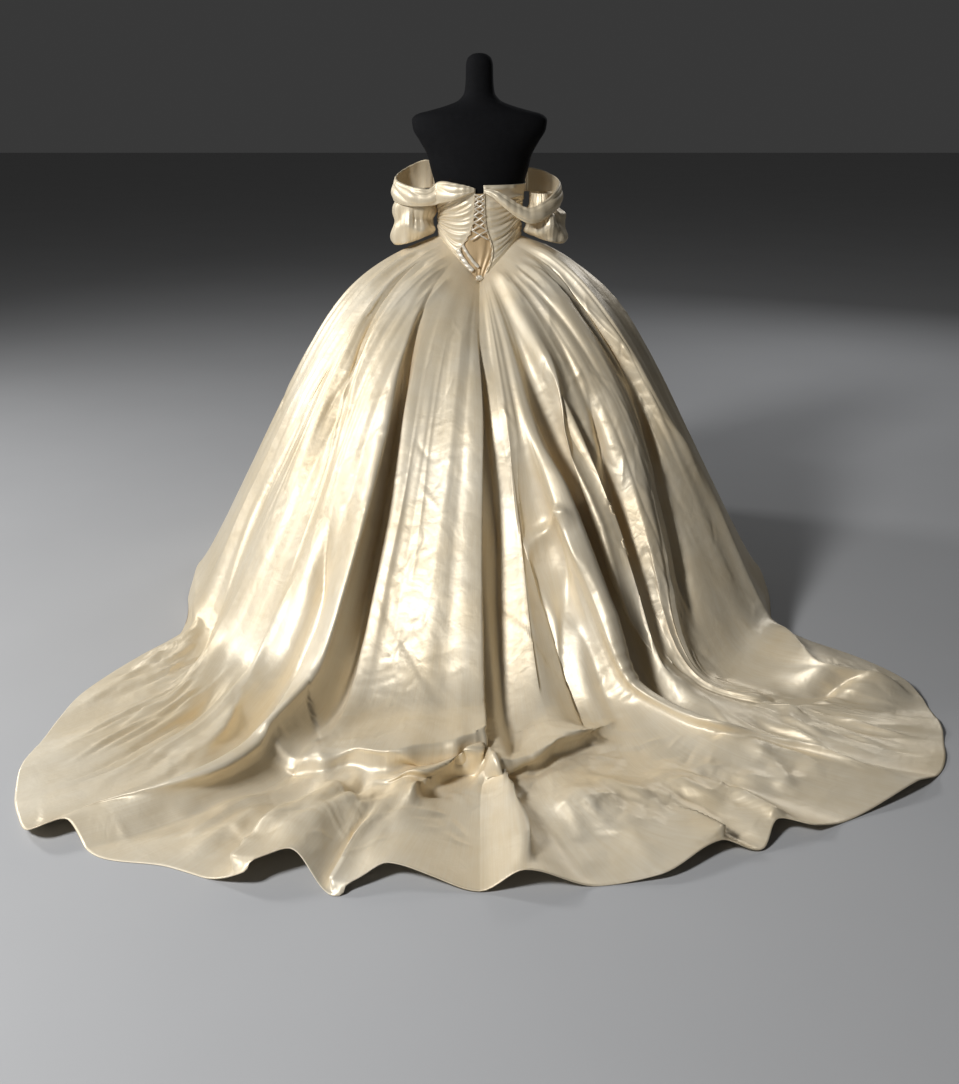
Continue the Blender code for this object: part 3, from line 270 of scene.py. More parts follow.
# The skirt's rough sizes in metres, which turn a small crease's length into degrees and levels
TOP_RADIUS, RADIUS_PER_LEVEL = 0.25, 0.8
STANDING_LEVEL_LENGTH, LYING_LEVEL_LENGTH = 1.38, 0.7

# Soft ridges down the skirt between its large folds: how many all round, height in mm, drift in
# radians per level and phase
Streak = namedtuple("Streak", "count height drift phase")
STREAKS = (
    Streak(26, 2.4, 0.9, 0.4), Streak(43, 2.0, -0.7, 2.1),
    Streak(71, 1.4, 1.3, 4.0), Streak(113, 0.8, -1.1, 1.3),
)

# Creases listed one by one: height in mm, width in mm on the line's left and right, how far its top
# leans to the right for its height, and the line itself as (angle, level) pairs. Left is the
# wearer's left where a line runs down the skirt, and the upper side where it runs to the left.
Crease = namedtuple("Crease", "name height left right lean line")
CREASES = (
    Crease("centre_stitching", -1.6, 5, 5, 0, ((0, .01), (0, .5), (0, 1), (0, 1.5), (0, 1.98))),
    Crease("left_stitching", -1.6, 6, 6, 0,
           ((76, .01), (73, .1), (71, .25), (70, .5), (69, .75), (66, 1), (63, 1.4), (62, 1.98))),
    Crease("right_stitching", -1.6, 6, 6, 0,
           ((-76, .01), (-73, .1), (-71, .25), (-70, .5), (-69, .75), (-66, 1), (-63, 1.4), (-62, 1.98))),
    Crease("left_slit_line", -16, 9, 9, 0,
           ((31, .14), (26.8, .30), (22.4, .49), (20.2, .66), (19.4, .84), (19.2, .94))),
    Crease("left_roll_lip", 18, 40, 16, 1.8,
           ((32, .1), (27, .35), (23.8, .62), (22.6, .85), (22.2, 1.1), (22, 1.4), (23.2, 1.61),
            (26.2, 1.75), (29.4, 1.9), (31, 2.2), (31.5, 2.5), (31.5, 2.6))),
    Crease("left_cup_line", -40, 22, 20, 0,
           ((29.4, .70), (28, .80), (26.5, .88), (26.6, .97), (26, 1.19), (24.8, 1.43), (26.6, 1.62))),
    Crease("left_ridge_a", 9, 30, 14, .3,
           ((56, .16), (54.5, .3), (57, .5), (58, .68), (54, .88), (47.8, 1.02))),
    Crease("left_ridge_b", 9, 28, 12, .3,
           ((51, .2), (48, .37), (42, .51), (36.5, .64), (34.8, .8), (34.2, .95))),
    Crease("left_ridge_c", 6, 20, 10, .3, ((44, .22), (40, .4), (36, .55), (33, .7))),
    Crease("left_ridge_d", 6, 18, 14, 0, ((61, .4), (63, .6), (62, .8), (57, .95))),
    Crease("left_wing_a", 18, 36, 22, .5,
           ((33, .81), (32.2, .89), (32.5, .97), (30.2, 1.18), (27.2, 1.47), (26.5, 1.70))),
    Crease("left_wing_b", 12, 34, 16, .5,
           ((45, 1.10), (41, 1.25), (39.5, 1.45), (39.5, 1.68), (39.2, 1.90))),
    Crease("left_wing_c", -10, 16, 16, 0,
           ((40.2, 1.01), (33.8, 1.28), (32.5, 1.50), (32.8, 1.69), (33, 1.86))),
    Crease("left_wing_d", 12, 30, 14, .5,
           ((34, 1.04), (28.8, 1.32), (28, 1.56), (28.5, 1.75), (29.8, 1.89))),
    Crease("left_wing_e", 9, 30, 14, .4, ((51, 1.42), (48.5, 1.56), (46.5, 1.75), (45.2, 2))),
    Crease("right_valley_line", -34, 20, 30, 0,
           ((-14.5, .12), (-17, .4), (-20.8, .56), (-24, .7), (-24.6, .9), (-25.4, 1.05), (-28, 1.25))),
    Crease("right_roll_lip", 16, 14, 34, -1.2,
           ((-11.6, .42), (-15.3, .68), (-19.2, .83), (-21, 1), (-23.2, 1.2), (-25.4, 1.37),
            (-28.8, 1.51), (-31.5, 1.64), (-34, 1.83), (-36.4, 2.1))),
    Crease("right_roll_valley", -28, 14, 12, 0,
           ((-14.6, .69), (-15, .80), (-15, .92), (-15.2, 1.02), (-15.8, 1.2))),
    Crease("right_hook", 18, 16, 10, 0, ((-12, .78), (-13.2, .71), (-16, .695), (-17.4, .735))),
    Crease("right_slit_line_2", -30, 10, 14, 0, ((-34, .42), (-32, .60), (-30.4, .72), (-28.4, .86))),
    Crease("right_slit_line_3", -34, 15, 20, 0,
           ((-55, .40), (-50, .62), (-46, .72), (-41.6, .84), (-39, .95))),
    Crease("right_crest_lip", 6, 13, 22, -.5,
           ((-21, .2), (-26, .5), (-28.2, .7), (-29.5, .88), (-30, 1.15))),
    Crease("right_flank", 12, 24, 16, .2, ((-55, .45), (-59, .68), (-57, .84), (-54, .97), (-51.5, 1.1))),
    Crease("right_flap", 58, 56, 16, .5,
           ((-54.5, 1.06), (-49.5, 1.16), (-45.8, 1.29), (-45, 1.42), (-46.2, 1.56), (-48.5, 1.78),
            (-49.5, 1.95))),
    Crease("right_flap_hollow", -26, 18, 26, 0, ((-35, 1.26), (-39.5, 1.36), (-44.2, 1.5), (-48.5, 1.72))),
    Crease("left_slit_fill", 24, 14, 46, 0,
           ((24.5, .2), (20.8, .42), (18.3, .62), (17.2, .85), (16.6, 1.1), (15.8, 1.35))),
    Crease("left_roll_turn", 4, 60, 14, 3.5, ((26, .36), (23.8, .58), (22.7, .85), (22.3, 1.1))),
    Crease("slump_bump", 14, 34, 26, 0, ((18.5, 1.26), (16.4, 1.34), (15, 1.43), (14.2, 1.54))),
    Crease("slump_shade", -16, 16, 20, 0, ((11.4, 1.42), (10.6, 1.52), (11.8, 1.64), (13.2, 1.8))),
    Crease("pouch_lip", 22, 12, 26, -.6, ((2.8, 1.40), (4.4, 1.48), (5.6, 1.58), (6, 1.7))),
    Crease("slump_right_trough", -16, 10, 18, 0, ((-13, 1.24), (-9, 1.31), (-6, 1.37), (-3.4, 1.42))),
    Crease("right_shade", -60, 54, 80, 0, ((-20, .34), (-25, .52), (-28, .7), (-28.6, .9), (-28.6, 1.06))),
    Crease("centre_shade", -64, 130, 34, 0,
           ((-9, .46), (-12.2, .70), (-13.6, .9), (-14, 1.08), (-12, 1.26))),
    Crease("right_roll_crest", 28, 22, 22, 0, ((-14.8, .52), (-17.8, .68), (-20.2, .85), (-22, 1.02))),
    Crease("right_roll_floor", 18, 12, 44, -.8,
           ((-22, 1.1), (-25.4, 1.37), (-28.8, 1.51), (-31.5, 1.64), (-34, 1.83), (-36, 2.2))),
    Crease("right_top_fold", 9, 20, 10, .2, ((-60, .05), (-56.5, .2), (-56, .33), (-58.5, .5))),
    Crease("right_top_slit", -12, 11, 11, 0, ((-52, .06), (-50, .2), (-50.5, .38), (-53, .5))),
    Crease("right_top_dip", -9, 16, 12, 0, ((-34, .08), (-36, .22), (-38.5, .4), (-40, .52))),
    Crease("right_wing_a", 10, 18, 30, -.2,
           ((-37.8, .96), (-36, 1.14), (-36.2, 1.44), (-38.2, 1.66), (-41.2, 1.94))),
    Crease("right_wing_b", 9, 18, 30, -.2,
           ((-39, 1.00), (-36.2, 1.29), (-38.8, 1.52), (-42.2, 1.73), (-45.8, 1.98))),
    Crease("right_wing_d", 12, 14, 30, -.5, ((-30.8, 1.06), (-29.5, 1.40), (-31.5, 1.64), (-34.5, 1.86))),
    Crease("centre_ridge_left", 34, 58, 8, .45,
           ((1.6, .15), (1.2, .4), (1, .7), (.8, 1), (.6, 1.3), (.4, 1.55))),
    Crease("centre_hollow_top", -14, 9, 16, 0, ((-.8, .30), (-1, .46), (-1.4, .60), (-2, .8))),
    Crease("centre_hollow", -50, 12, 90, 0,
           ((-.8, .40), (-1.4, .62), (-2.2, .84), (-2.8, 1.02), (-3, 1.2), (-2.6, 1.42))),
    Crease("slump_left", 18, 240, 12, 1.2,
           ((-2, 1.12), (1, 1.19), (3.2, 1.25), (4.8, 1.32), (6.2, 1.345), (8.4, 1.34), (11.6, 1.355),
            (14, 1.38), (15.6, 1.4))),
    Crease("slump_left_low", 22, 40, 11, 1.6,
           ((-.8, 1.27), (1, 1.31), (2.8, 1.325), (4.2, 1.40), (5.8, 1.455), (7.8, 1.46), (11, 1.45))),
    Crease("pouch", -44, 18, 30, 0, ((-.4, 1.30), (1, 1.36), (2.6, 1.42), (4.2, 1.52), (5.4, 1.64))),
    Crease("slump_right", 18, 240, 12, 1.2,
           ((-19, 1.06), (-14, 1.15), (-9.4, 1.24), (-6, 1.305), (-3.2, 1.35), (-1, 1.40), (1, 1.46))),
    Crease("puddle_right", 8, 40, 30, 0, ((-13, 1), (-9.6, 1.07), (-7.5, 1.10), (-5.2, 1.14), (-3, 1.2))),
    Crease("train_tongue", 34, 30, 12, .8,
           ((-.2, 1.18), (-1, 1.36), (-2, 1.5), (-2.6, 1.7), (-3, 1.88), (-3.1, 2.4))),
    Crease("curl_b", 26, 12, 40, -.8, ((14.6, 1.62), (15.4, 1.8), (15.6, 1.95), (15.6, 2.3))),
    Crease("curl_c", 24, 10, 34, -.8, ((8.2, 1.6), (8.9, 1.8), (9.2, 1.95), (9.2, 2.3))),
    Crease("curl_d", 20, 30, 8, .8, ((-15.4, 1.66), (-17, 1.85), (-17.4, 1.96), (-17.4, 2.3))),
    Crease("curl_e", 20, 12, 30, -.3, ((-20.8, 1.66), (-22.3, 1.85), (-22.7, 1.96), (-22.7, 2.3))),
    Crease("train_fold_a", 16, 30, 22, .2, ((5.6, 1.45), (6.4, 1.62), (6.6, 1.85))),
    Crease("train_fold_b", 14, 40, 22, .3, ((16, 1.44), (14, 1.55), (11.5, 1.62), (9, 1.66))),
    Crease("train_fold_c", 14, 24, 30, -.3, ((-9, 1.42), (-13, 1.6), (-15.5, 1.8))),
    Crease("train_fold_d", 12, 22, 18, 0, ((-18.5, 1.42), (-20.4, 1.6), (-21.4, 1.8))),
    Crease("train_fold_e", 12, 20, 26, 0, ((-27, 1.5), (-27.5, 1.65), (-26.5, 1.85))),
)

# Fans of long fine creases over the wings of the train: the first and last crease's angles where
# they start, halfway and where they end, the levels of those places, how many, height and width
# in mm, and a seed
Fan = namedtuple("Fan", "name start middle end levels count height width seed")
FANS = (
    Fan("left_wing", (31, 54), (28, 53), (29, 54), (1.02, 1.35, 1.97), 54, 6.5, 7, 31),
    Fan("left_wing_short", (34, 53), (32, 52), (32, 53), (1.16, 1.45, 1.85), 26, 5.0, 6, 32),
    Fan("right_wing", (-30, -45), (-31, -49), (-34, -54), (1.22, 1.52, 1.97), 36, 6.5, 7, 33),
    Fan("train_left", (4, 18), (3, 24), (3, 27), (1.45, 1.7, 2.0), 14, 10, 24, 43),
    Fan("train_right", (-3, -24), (-4, -30), (-5, -34), (1.44, 1.7, 2.0), 16, 9, 24, 44),
    Fan("waist_left", (24, 74), (26, 70), (30, 66), (.0, .12, .32), 16, 5, 9, 45),
    Fan("waist_right", (-18, -74), (-20, -70), (-24, -66), (.0, .12, .32), 18, 5, 9, 46),
    Fan("left_flank", (28, 70), (27, 68), (25, 62), (.10, .5, .9), 26, 3.6, 9, 35),
    Fan("right_flank", (-20, -70), (-26, -68), (-27, -62), (.10, .5, .95), 30, 3.6, 9, 36),
    Fan("left_panel", (3, 22), (3.5, 17), (3, 17), (.06, .5, 1.05), 12, 2.2, 8, 37),
    Fan("side_left", (78, 118), (74, 114), (72, 112), (.08, .5, .97), 18, 3.6, 12, 39),
    Fan("side_right", (-78, -118), (-74, -114), (-72, -112), (.08, .5, .97), 18, 3.6, 12, 40),
    Fan("front", (122, 172), (120, 172), (119, 171), (.08, .5, .97), 20, 3.6, 12, 41),
    Fan("front_right", (-122, -172), (-120, -172), (-119, -171), (.08, .5, .97), 20, 3.6, 12, 42),
)

# Patches of small crumples: middle and spread in degrees and levels, how many, length in m,
# height in mm, the way they run in degrees from straight down, how far that varies, and a seed
Patch = namedtuple(
    "Patch", "name angle level angle_spread level_spread count length height heading scatter seed")
PATCHES = (
    Patch("left_knee", 11, .80, 3.6, .17, 56, .10, 0.9, 35, 40, 3),
    Patch("left_knee_low", 12.5, .98, 3.0, .09, 34, .11, 1.1, 55, 35, 4),
    Patch("left_panel_top", 6, .42, 4.0, .16, 20, .10, 0.6, 10, 40, 5),
    Patch("left_flank", 36, .72, 9.0, .20, 60, .16, 1.2, 8, 22, 6),
    Patch("left_flank_top", 48, .40, 9.0, .15, 34, .16, 0.9, 6, 18, 7),
    Patch("left_wing_fan", 47, 1.45, 6.5, .28, 26, .15, 1.5, 6, 15, 8),
    Patch("right_panel", -8, .80, 3.4, .22, 34, .08, 0.9, -25, 50, 9),
    Patch("right_roll", -19.6, .98, 1.4, .05, 22, .07, 1.8, 70, 25, 10),
    Patch("right_shade", -31, .74, 4.5, .20, 80, .11, 2.0, -12, 35, 11),
    Patch("right_shade_low", -36, .90, 5.0, .10, 24, .12, 1.2, -10, 25, 12),
    Patch("right_flank", -50, .72, 6.0, .20, 50, .12, 1.3, -10, 30, 13),
    Patch("train_left", 12, 1.62, 7.5, .20, 80, .12, 1.9, 30, 60, 15),
    Patch("train_right", -15, 1.58, 7.5, .20, 90, .13, 2.0, -30, 60, 16),
    Patch("seam_puckers", 0, .85, 1.2, .45, 50, .035, 0.7, 80, 20, 17),
    Patch("side_left", 92, .65, 12, .26, 60, .15, 1.2, 5, 25, 18),
    Patch("side_right", -92, .65, 12, .26, 60, .15, 1.2, -5, 25, 19),
    Patch("front_left", 140, .62, 16, .26, 60, .15, 1.2, 5, 28, 20),
    Patch("front_right", -140, .62, 16, .26, 60, .15, 1.2, -5, 28, 21),
)

# Small detail of the bodice, band and lacing
SMALL_RUCHE_HEIGHT = 0.0011
TOP_ROLL = 0.0024             # the rolled top edge where the band leaves it bare
BAND_FINE_STEPS, BAND_FINE_ROWS = 9, 30
CORD_SIDES = 8
LACE_WIDTH = 0.0045
LACE_LIFT = 0.0008
PANEL_FOOT = 0.973          # the panel behind the lacing reaches down to the point of the V

# Camera
CAMERA_PLACE = (0, 3.67, 1.50)
CAMERA_TILT = 68.75
SENSOR_WIDTH = 36
CAMERA_LENS = SENSOR_WIDTH * 1150 / 1084

# Studio
Light = namedtuple("Light", "name place target size power color")
LIGHTS = (
    Light("key", (2.8, 3.3, 3.4), (0, .5, .5), 0.8, 185, (.97, .98, 1.0)),
    Light("left_rim", (4.2, -1.0, 2.8), (.4, .9, .1), 0.8, 75, (.97, .98, 1.0)),
    Light("right_rim", (-2.6, -3.8, 2.8), (-.4, .7, .2), 1.0, 30, (.94, .96, 1.0)),
)
WORLD_COLOR, WORLD_STRENGTH = (.80, .80, .80, 1), 0.05
FLOOR_REACH = 30


def monotone(x, xs, ys):
    """Smooth curve through the points (xs, ys) that never overshoots them; ys may have many columns."""
    x, xs, ys = (np.asarray(v, float) for v in (x, xs, ys))
    step = np.diff(xs)
    ys = ys.reshape(len(xs), -1)
    slope = np.diff(ys, axis=0) / step[:, None]
    tangent = np.zeros_like(ys)
    tangent[0], tangent[-1] = slope[0], slope[-1]
    before, after = slope[:-1], slope[1:]
    same = before * after > 0
    w_before = (2 * step[1:] + step[:-1])[:, None]
    w_after = (step[1:] + 2 * step[:-1])[:, None]
    with np.errstate(divide="ignore", invalid="ignore"):
        mean = (w_before + w_after) / (w_before / before + w_after / after)
    tangent[1:-1] = np.where(same, mean, 0.0)
    flat = np.clip(x.ravel(), xs[0], xs[-1])
    i = np.clip(np.searchsorted(xs, flat, side="right") - 1, 0, len(xs) - 2)
    h = step[i][:, None]
    t = ((flat - xs[i]) / step[i])[:, None]
    out = ((2 * t**3 - 3 * t**2 + 1) * ys[i] + (t**3 - 2 * t**2 + t) * h * tangent[i]
           + (3 * t**2 - 2 * t**3) * ys[i + 1] + (t**3 - t**2) * h * tangent[i + 1])
    return out[:, 0].reshape(x.shape) if ys.shape[1] == 1 else out


def smooth(share):
    """0 to 1 with a level start and end."""
    share = np.clip(share, 0.0, 1.0)
    return share * share * (3 - 2 * share)


def turn(angle):
    """The angle brought to between -180 and 180 degrees."""
    return (np.asarray(angle, float) + 180.0) % 360.0 - 180.0


def backness(angle):
    """1 at the centre back, 0 at the centre front."""
    return (1 + np.cos(np.radians(angle))) / 2


def body_radius(angle, height):
    """Distance from the axis to the dress form's surface."""
    heights = [row.height for row in BODY]
    sizes = monotone(height, heights, [row[1:] for row in BODY])
    wide, back, front = sizes[:, 0], sizes[:, 1], sizes[:, 2]
    s, c = np.sin(np.radians(angle)).ravel(), np.cos(np.radians(angle)).ravel()
    deep = np.where(c > 0, back, front)
    radius = 1 / np.sqrt((s / wide) ** 2 + (c / deep) ** 2)
    return radius.reshape(np.shape(height))


def waist_height(angle):
    """Height of the waist seam, which drops to a point at the back and at the front."""
    off = np.abs(turn(angle))
    back = np.clip(1 - off / POINT_SPREAD, 0, 1) ** 1.3
    front = np.clip(1 - (180 - off) / POINT_SPREAD, 0, 1) ** 1.3
    return WAIST_HEIGHT - BACK_POINT_DROP * back - FRONT_POINT_DROP * front


BODICE_INNER = REST_GAP + PANEL_EASE + PANEL_WALL + REST_GAP   # from the form to the inside of the bodice
BODICE_OUTER = BODICE_INNER + BODICE_WALL


def skirt_base(angle, level):
    """Radius and height of the skirt's inside before any folds."""
    angle, level = np.broadcast_arrays(np.asarray(angle, float), np.asarray(level, float))
    top = waist_height(angle)
    waist = body_radius(angle, top) + BODICE_OUTER + WAIST_GAP
    floor = FLOOR_RADIUS_FRONT + FLOOR_RADIUS_TRAIN * backness(angle) ** TRAIN_SPREAD
    hem = monotone(turn(angle), [h.angle for h in HEM_LINE], [h.radius for h in HEM_LINE])
    standing = np.minimum(level, 1.0)
    drop = top * (0.4 * standing + 0.6 * standing**2)
    slope = (floor - waist - DOME_RISE) / top
    radius = waist + DOME_RISE * (1 - np.exp(-drop / DOME_DEPTH)) + slope * drop
    radius = np.where(level > 1, floor + (hem - floor) * (level - 1), radius)
    above = np.where(level > 1, -(radius - floor) / slope, top - drop)
    blend = FLOOR_CORNER + FLOOR_CORNER_TRAIN * backness(angle)
    height = (above + np.sqrt(above**2 + blend**2)) / 2
    height = height - (np.sqrt(top**2 + blend**2) - top) / 2
    last = -(hem - floor) / slope
    left_over = (last + np.sqrt(last**2 + blend**2)) / 2
    height = height - left_over * np.clip(level - 0.8, 0, 1.2) / 1.2
    return radius, np.maximum(height, 0.0)


def all_folds():
    """The back folds followed by the computed front folds, in order of angle."""
    folds = list(BACK_FOLDS)
    first, last = BACK_FOLDS[-1], BACK_FOLDS[0]
    for k in range(1, FRONT_FOLD_COUNT):
        share = k / FRONT_FOLD_COUNT
        wander = FRONT_FOLD_WANDER * math.sin(2.3 * k + 0.7)
        angles = [a + (b + 360 - a) * share + wander for a, b in zip(first.angles, last.angles)]
        crest = k % 2 == 1
        size = (FRONT_CREST_MM if crest else FRONT_VALLEY_MM) * (1 + 0.35 * math.sin(1.7 * k + 1.1))
        growth = (0, .35, .55, .8, 1.0, 1.0 if crest else 0.0, .8 if crest else 0, .6 if crest else 0)
        folds.append(Fold("front_fold_%d" % k, angles, [size * g for g in growth]))
    return folds


def fold_height(angle, level):
    """Extra height in metres from the rolls that lie across the train."""
    extra = np.zeros(np.broadcast(angle, level).shape)
    for fold in CROSS_FOLDS:
        first, middle, last = fold.angles
        along = (angle - first) / (last - first)
        mid_share = (middle - first) / (last - first)
        line = monotone(np.clip(along, 0, 1), (0, mid_share, 1), fold.levels)
        across = (level - line) * LEVEL_LENGTH
        width = np.where(across < 0, fold.rise_width, fold.fall_width)
        ends = smooth((along + 0.15) / 0.3) * smooth((1.15 - along) / 0.3)
        extra = extra + fold.height_mm / 1000 * ends * np.exp(-(across / width) ** 2)
    return extra


def spline(points, count):
    """A smooth curve through the points, as count rows spread evenly over its spans."""
    points = np.asarray(points, float)
    ends = np.vstack([2 * points[0] - points[1], points, 2 * points[-1] - points[-2]])
    at = np.linspace(0, len(points) - 1, count)
    i = np.minimum(at.astype(int), len(points) - 2)
    t = (at - i)[:, None]
    p0, p1, p2, p3 = ends[i], ends[i + 1], ends[i + 2], ends[i + 3]
    return 0.5 * (2 * p1 + (p2 - p0) * t + (2 * p0 - 5 * p1 + 4 * p2 - p3) * t**2
                  + (3 * p1 - p0 - 3 * p2 + p3) * t**3)


def unit(vectors):
    """The vectors brought to a length of 1."""
    return vectors / np.linalg.norm(vectors, axis=-1, keepdims=True)


def grid_normals(points, closed=False):
    """Unit normals of a grid of points; closed joins its last column to its first."""
    if closed:
        across = np.roll(points, -1, axis=0) - np.roll(points, 1, axis=0)
    else:
        across = np.gradient(points, axis=0)
    normal = np.cross(across, np.gradient(points, axis=1))
    return normal / np.maximum(np.linalg.norm(normal, axis=-1, keepdims=True), 1e-12)


def quads(columns, rows, closed=False):
    """Corners of every face of a grid, as (column, row) pairs; the last column may stand for the first."""
    c, r = np.meshgrid(np.arange(columns if closed else columns - 1), np.arange(rows - 1), indexing="ij")
    around = [np.stack(pair, axis=-1) for pair in ((c, r), (c + 1, r), (c + 1, r + 1), (c, r + 1))]
    return np.stack(around, axis=2).reshape(-1, 4, 2)


def flat_sizes(points, closed=False):
    """Mean distances along the columns and down the rows of a grid, in metres from its first corner."""
    ring = np.concatenate([points, points[:1]]) if closed else points
    wide = np.linalg.norm(np.diff(ring, axis=0), axis=-1).mean(axis=1)
    tall = np.linalg.norm(np.diff(points, axis=1), axis=-1).mean(axis=0)
    return np.concatenate([[0], np.cumsum(wide)]), np.concatenate([[0], np.cumsum(tall)])


def put(name, data):
    """An object in the scene from its mesh, light or camera."""
    made = bpy.data.objects.new(name, data)
    bpy.context.scene.collection.objects.link(made)
    return made


def mesh_piece(name, points, faces, uvs, finish, slot):
    """An object from points, four-cornered faces and a flat place in metres for each corner."""
    mesh = bpy.data.meshes.new(name)
    mesh.vertices.add(len(points))
    mesh.vertices.foreach_set("co", points.astype(np.float32).ravel())
    mesh.loops.add(faces.size)
    mesh.loops.foreach_set("vertex_index", faces.astype(np.int32).ravel())
    mesh.polygons.add(len(faces))
    mesh.polygons.foreach_set("loop_start", np.arange(0, faces.size, faces.shape[1], dtype=np.int32))
    layer = mesh.uv_layers.new(name="flat")
    layer.data.foreach_set("uv", uvs.astype(np.float32).ravel())
    mesh.update(calc_edges=True)
    mesh.validate()
    mesh.shade_smooth()
    mesh.materials.append(finish)
    piece = put(name, mesh)
    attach(piece, "root")
    return piece


def sheet_piece(name, points, finish, slot="satin", closed=False):
    """A single sheet of cloth through a grid of points."""
    columns, rows = points.shape[:2]
    corners = quads(columns, rows, closed)
    u, v = flat_sizes(points, closed)
    faces = corners[..., 0] % columns * rows + corners[..., 1]
    uvs = np.stack([u[corners[..., 0]], v[corners[..., 1]]], axis=-1)
    return mesh_piece(name, points.reshape(-1, 3), faces, uvs, finish, slot)


def wall_piece(name, inner, outer, finish, slot="satin", closed=False):
    """A wall of cloth between two grids of points, with all its rims."""
    columns, rows = outer.shape[:2]
    u, v = flat_sizes(outer, closed)
    corners = quads(columns, rows, closed)
    inside = columns * rows
    index = corners[..., 0] % columns * rows + corners[..., 1]
    flat = np.stack([u[corners[..., 0]], v[corners[..., 1]]], axis=-1)
    faces, uvs = [index, (index + inside)[:, ::-1]], [flat, flat[:, ::-1]]
    along = np.arange(columns if closed else columns - 1)
    for r, flip in ((0, False), (rows - 1, True)):
        a, b = along * rows + r, (along + 1) % columns * rows + r
        add_rim(faces, uvs, a, b, inside, np.stack([u[along], u[along + 1]], axis=1), v[r], flip, False)
    if not closed:
        down = np.arange(rows - 1)
        for c, flip in ((0, True), (columns - 1, False)):
            a, b = c * rows + down, c * rows + down + 1
            add_rim(faces, uvs, a, b, inside, np.stack([v[down], v[down + 1]], axis=1), u[c], flip, True)
    points = np.concatenate([outer.reshape(-1, 3), inner.reshape(-1, 3)])
    return mesh_piece(name, points, np.concatenate(faces), np.concatenate(uvs), finish, slot)


def add_rim(faces, uvs, a, b, inside, spans, level, flip, down):
    """Faces that close the edge from a to b, between the outside and the inside of a wall."""
    face = np.stack([a + inside, b + inside, b, a], axis=1)
    moving = spans[:, [0, 1, 1, 0]]
    still = np.full_like(moving, level)
    uv = np.stack([still, moving] if down else [moving, still], axis=-1)
    faces.append(face[:, ::-1] if flip else face)
    uvs.append(uv[:, ::-1] if flip else uv)


# The skirt

def skirt_levels():
    """Levels of the fine rows, from the waist seam to the hem."""
    standing = np.linspace(0, 1, ROWS_STANDING, endpoint=False)
    return np.concatenate([standing, np.linspace(1, 2, ROWS_ON_FLOOR)])


def folds_from_front():
    """All folds in order of angle, starting near the centre front."""
    folds = all_folds()
    start = [f.name for f in folds].index("front_fold_%d" % (FRONT_FOLD_COUNT // 2))
    before = [f._replace(angles=[a - 360 for a in f.angles]) for f in folds[start:]]
    return before + folds[:start]


def skirt_grid(folds, levels):
    """Angles and fold heights of the fine columns, and the column at which each fold starts."""
    count = len(folds)
    table_angles = np.array([monotone(levels, FOLD_LEVELS, f.angles) for f in folds])
    table_heights = np.array([monotone(levels, FOLD_LEVELS, f.heights) for f in folds]) / 1000
    table_angles = np.vstack([table_angles[-2:] - 360, table_angles, table_angles[:3] + 360])
    table_heights = np.vstack([table_heights[-2:], table_heights, table_heights[:3]])
    columns, starts = [], []
    for k in range(count):
        spans = table_angles[k + 3] - table_angles[k + 2]
        finer = abs(table_angles[k + 2][0]) < BACK_HALF_ANGLE
        steps = max(3, math.ceil(spans.max() / (BACK_COLUMN_DEGREES if finer else FRONT_COLUMN_DEGREES)))
        starts.append(len(columns))
        for j in range(steps):
            columns.append(table_angles[k + 2] + spans * (j / steps))
    angles = np.array(columns)
    heights = np.empty_like(angles)
    for r in range(len(levels)):
        heights[:, r] = monotone(angles[:, r], table_angles[:, r], table_heights[:, r])
    return angles, heights, starts


def streak_heights(angles, levels):
    """Soft ridges that grow below the waist and grow lower again on the floor."""
    across = np.radians(angles[:, ROWS_STANDING * 3 // 4])[:, None]
    total = np.zeros(angles.shape)
    for s in STREAKS:
        swell = 0.6 + 0.4 * np.sin(across * 5 + 3 * s.phase)
        total += s.height / 1000 * swell * np.sin(across * s.count + s.drift * levels + s.phase)
    return total * smooth(levels / 0.35) * (1 - 0.6 * smooth((levels - 1.0) / 0.5))


def skirt_surface(angles, heights, levels):
    """Outside of the folded skirt; the rolls across the train lean towards the hem."""
    levels = np.broadcast_to(levels, angles.shape)
    radius, height = skirt_base(angles, levels)
    r1, z1 = skirt_base(angles, np.minimum(levels + 0.01, 2.0))
    r0, z0 = skirt_base(angles, np.maximum(levels - 0.01, 0.0))
    length = np.hypot(r1 - r0, z1 - z0)
    out, up = (z0 - z1) / length, (r1 - r0) / length
    rolls = fold_height(turn(angles), levels)
    lift = heights + rolls + SKIRT_WALL
    radius = radius + out * lift + up * ROLL_LEAN * rolls
    height = height + up * lift - out * ROLL_LEAN * rolls
    turned = np.radians(angles)
    points = np.stack([radius * np.sin(turned), radius * np.cos(turned), height], axis=-1)
    points[..., 2] = np.maximum(points[..., 2], SKIRT_WALL)
    return points


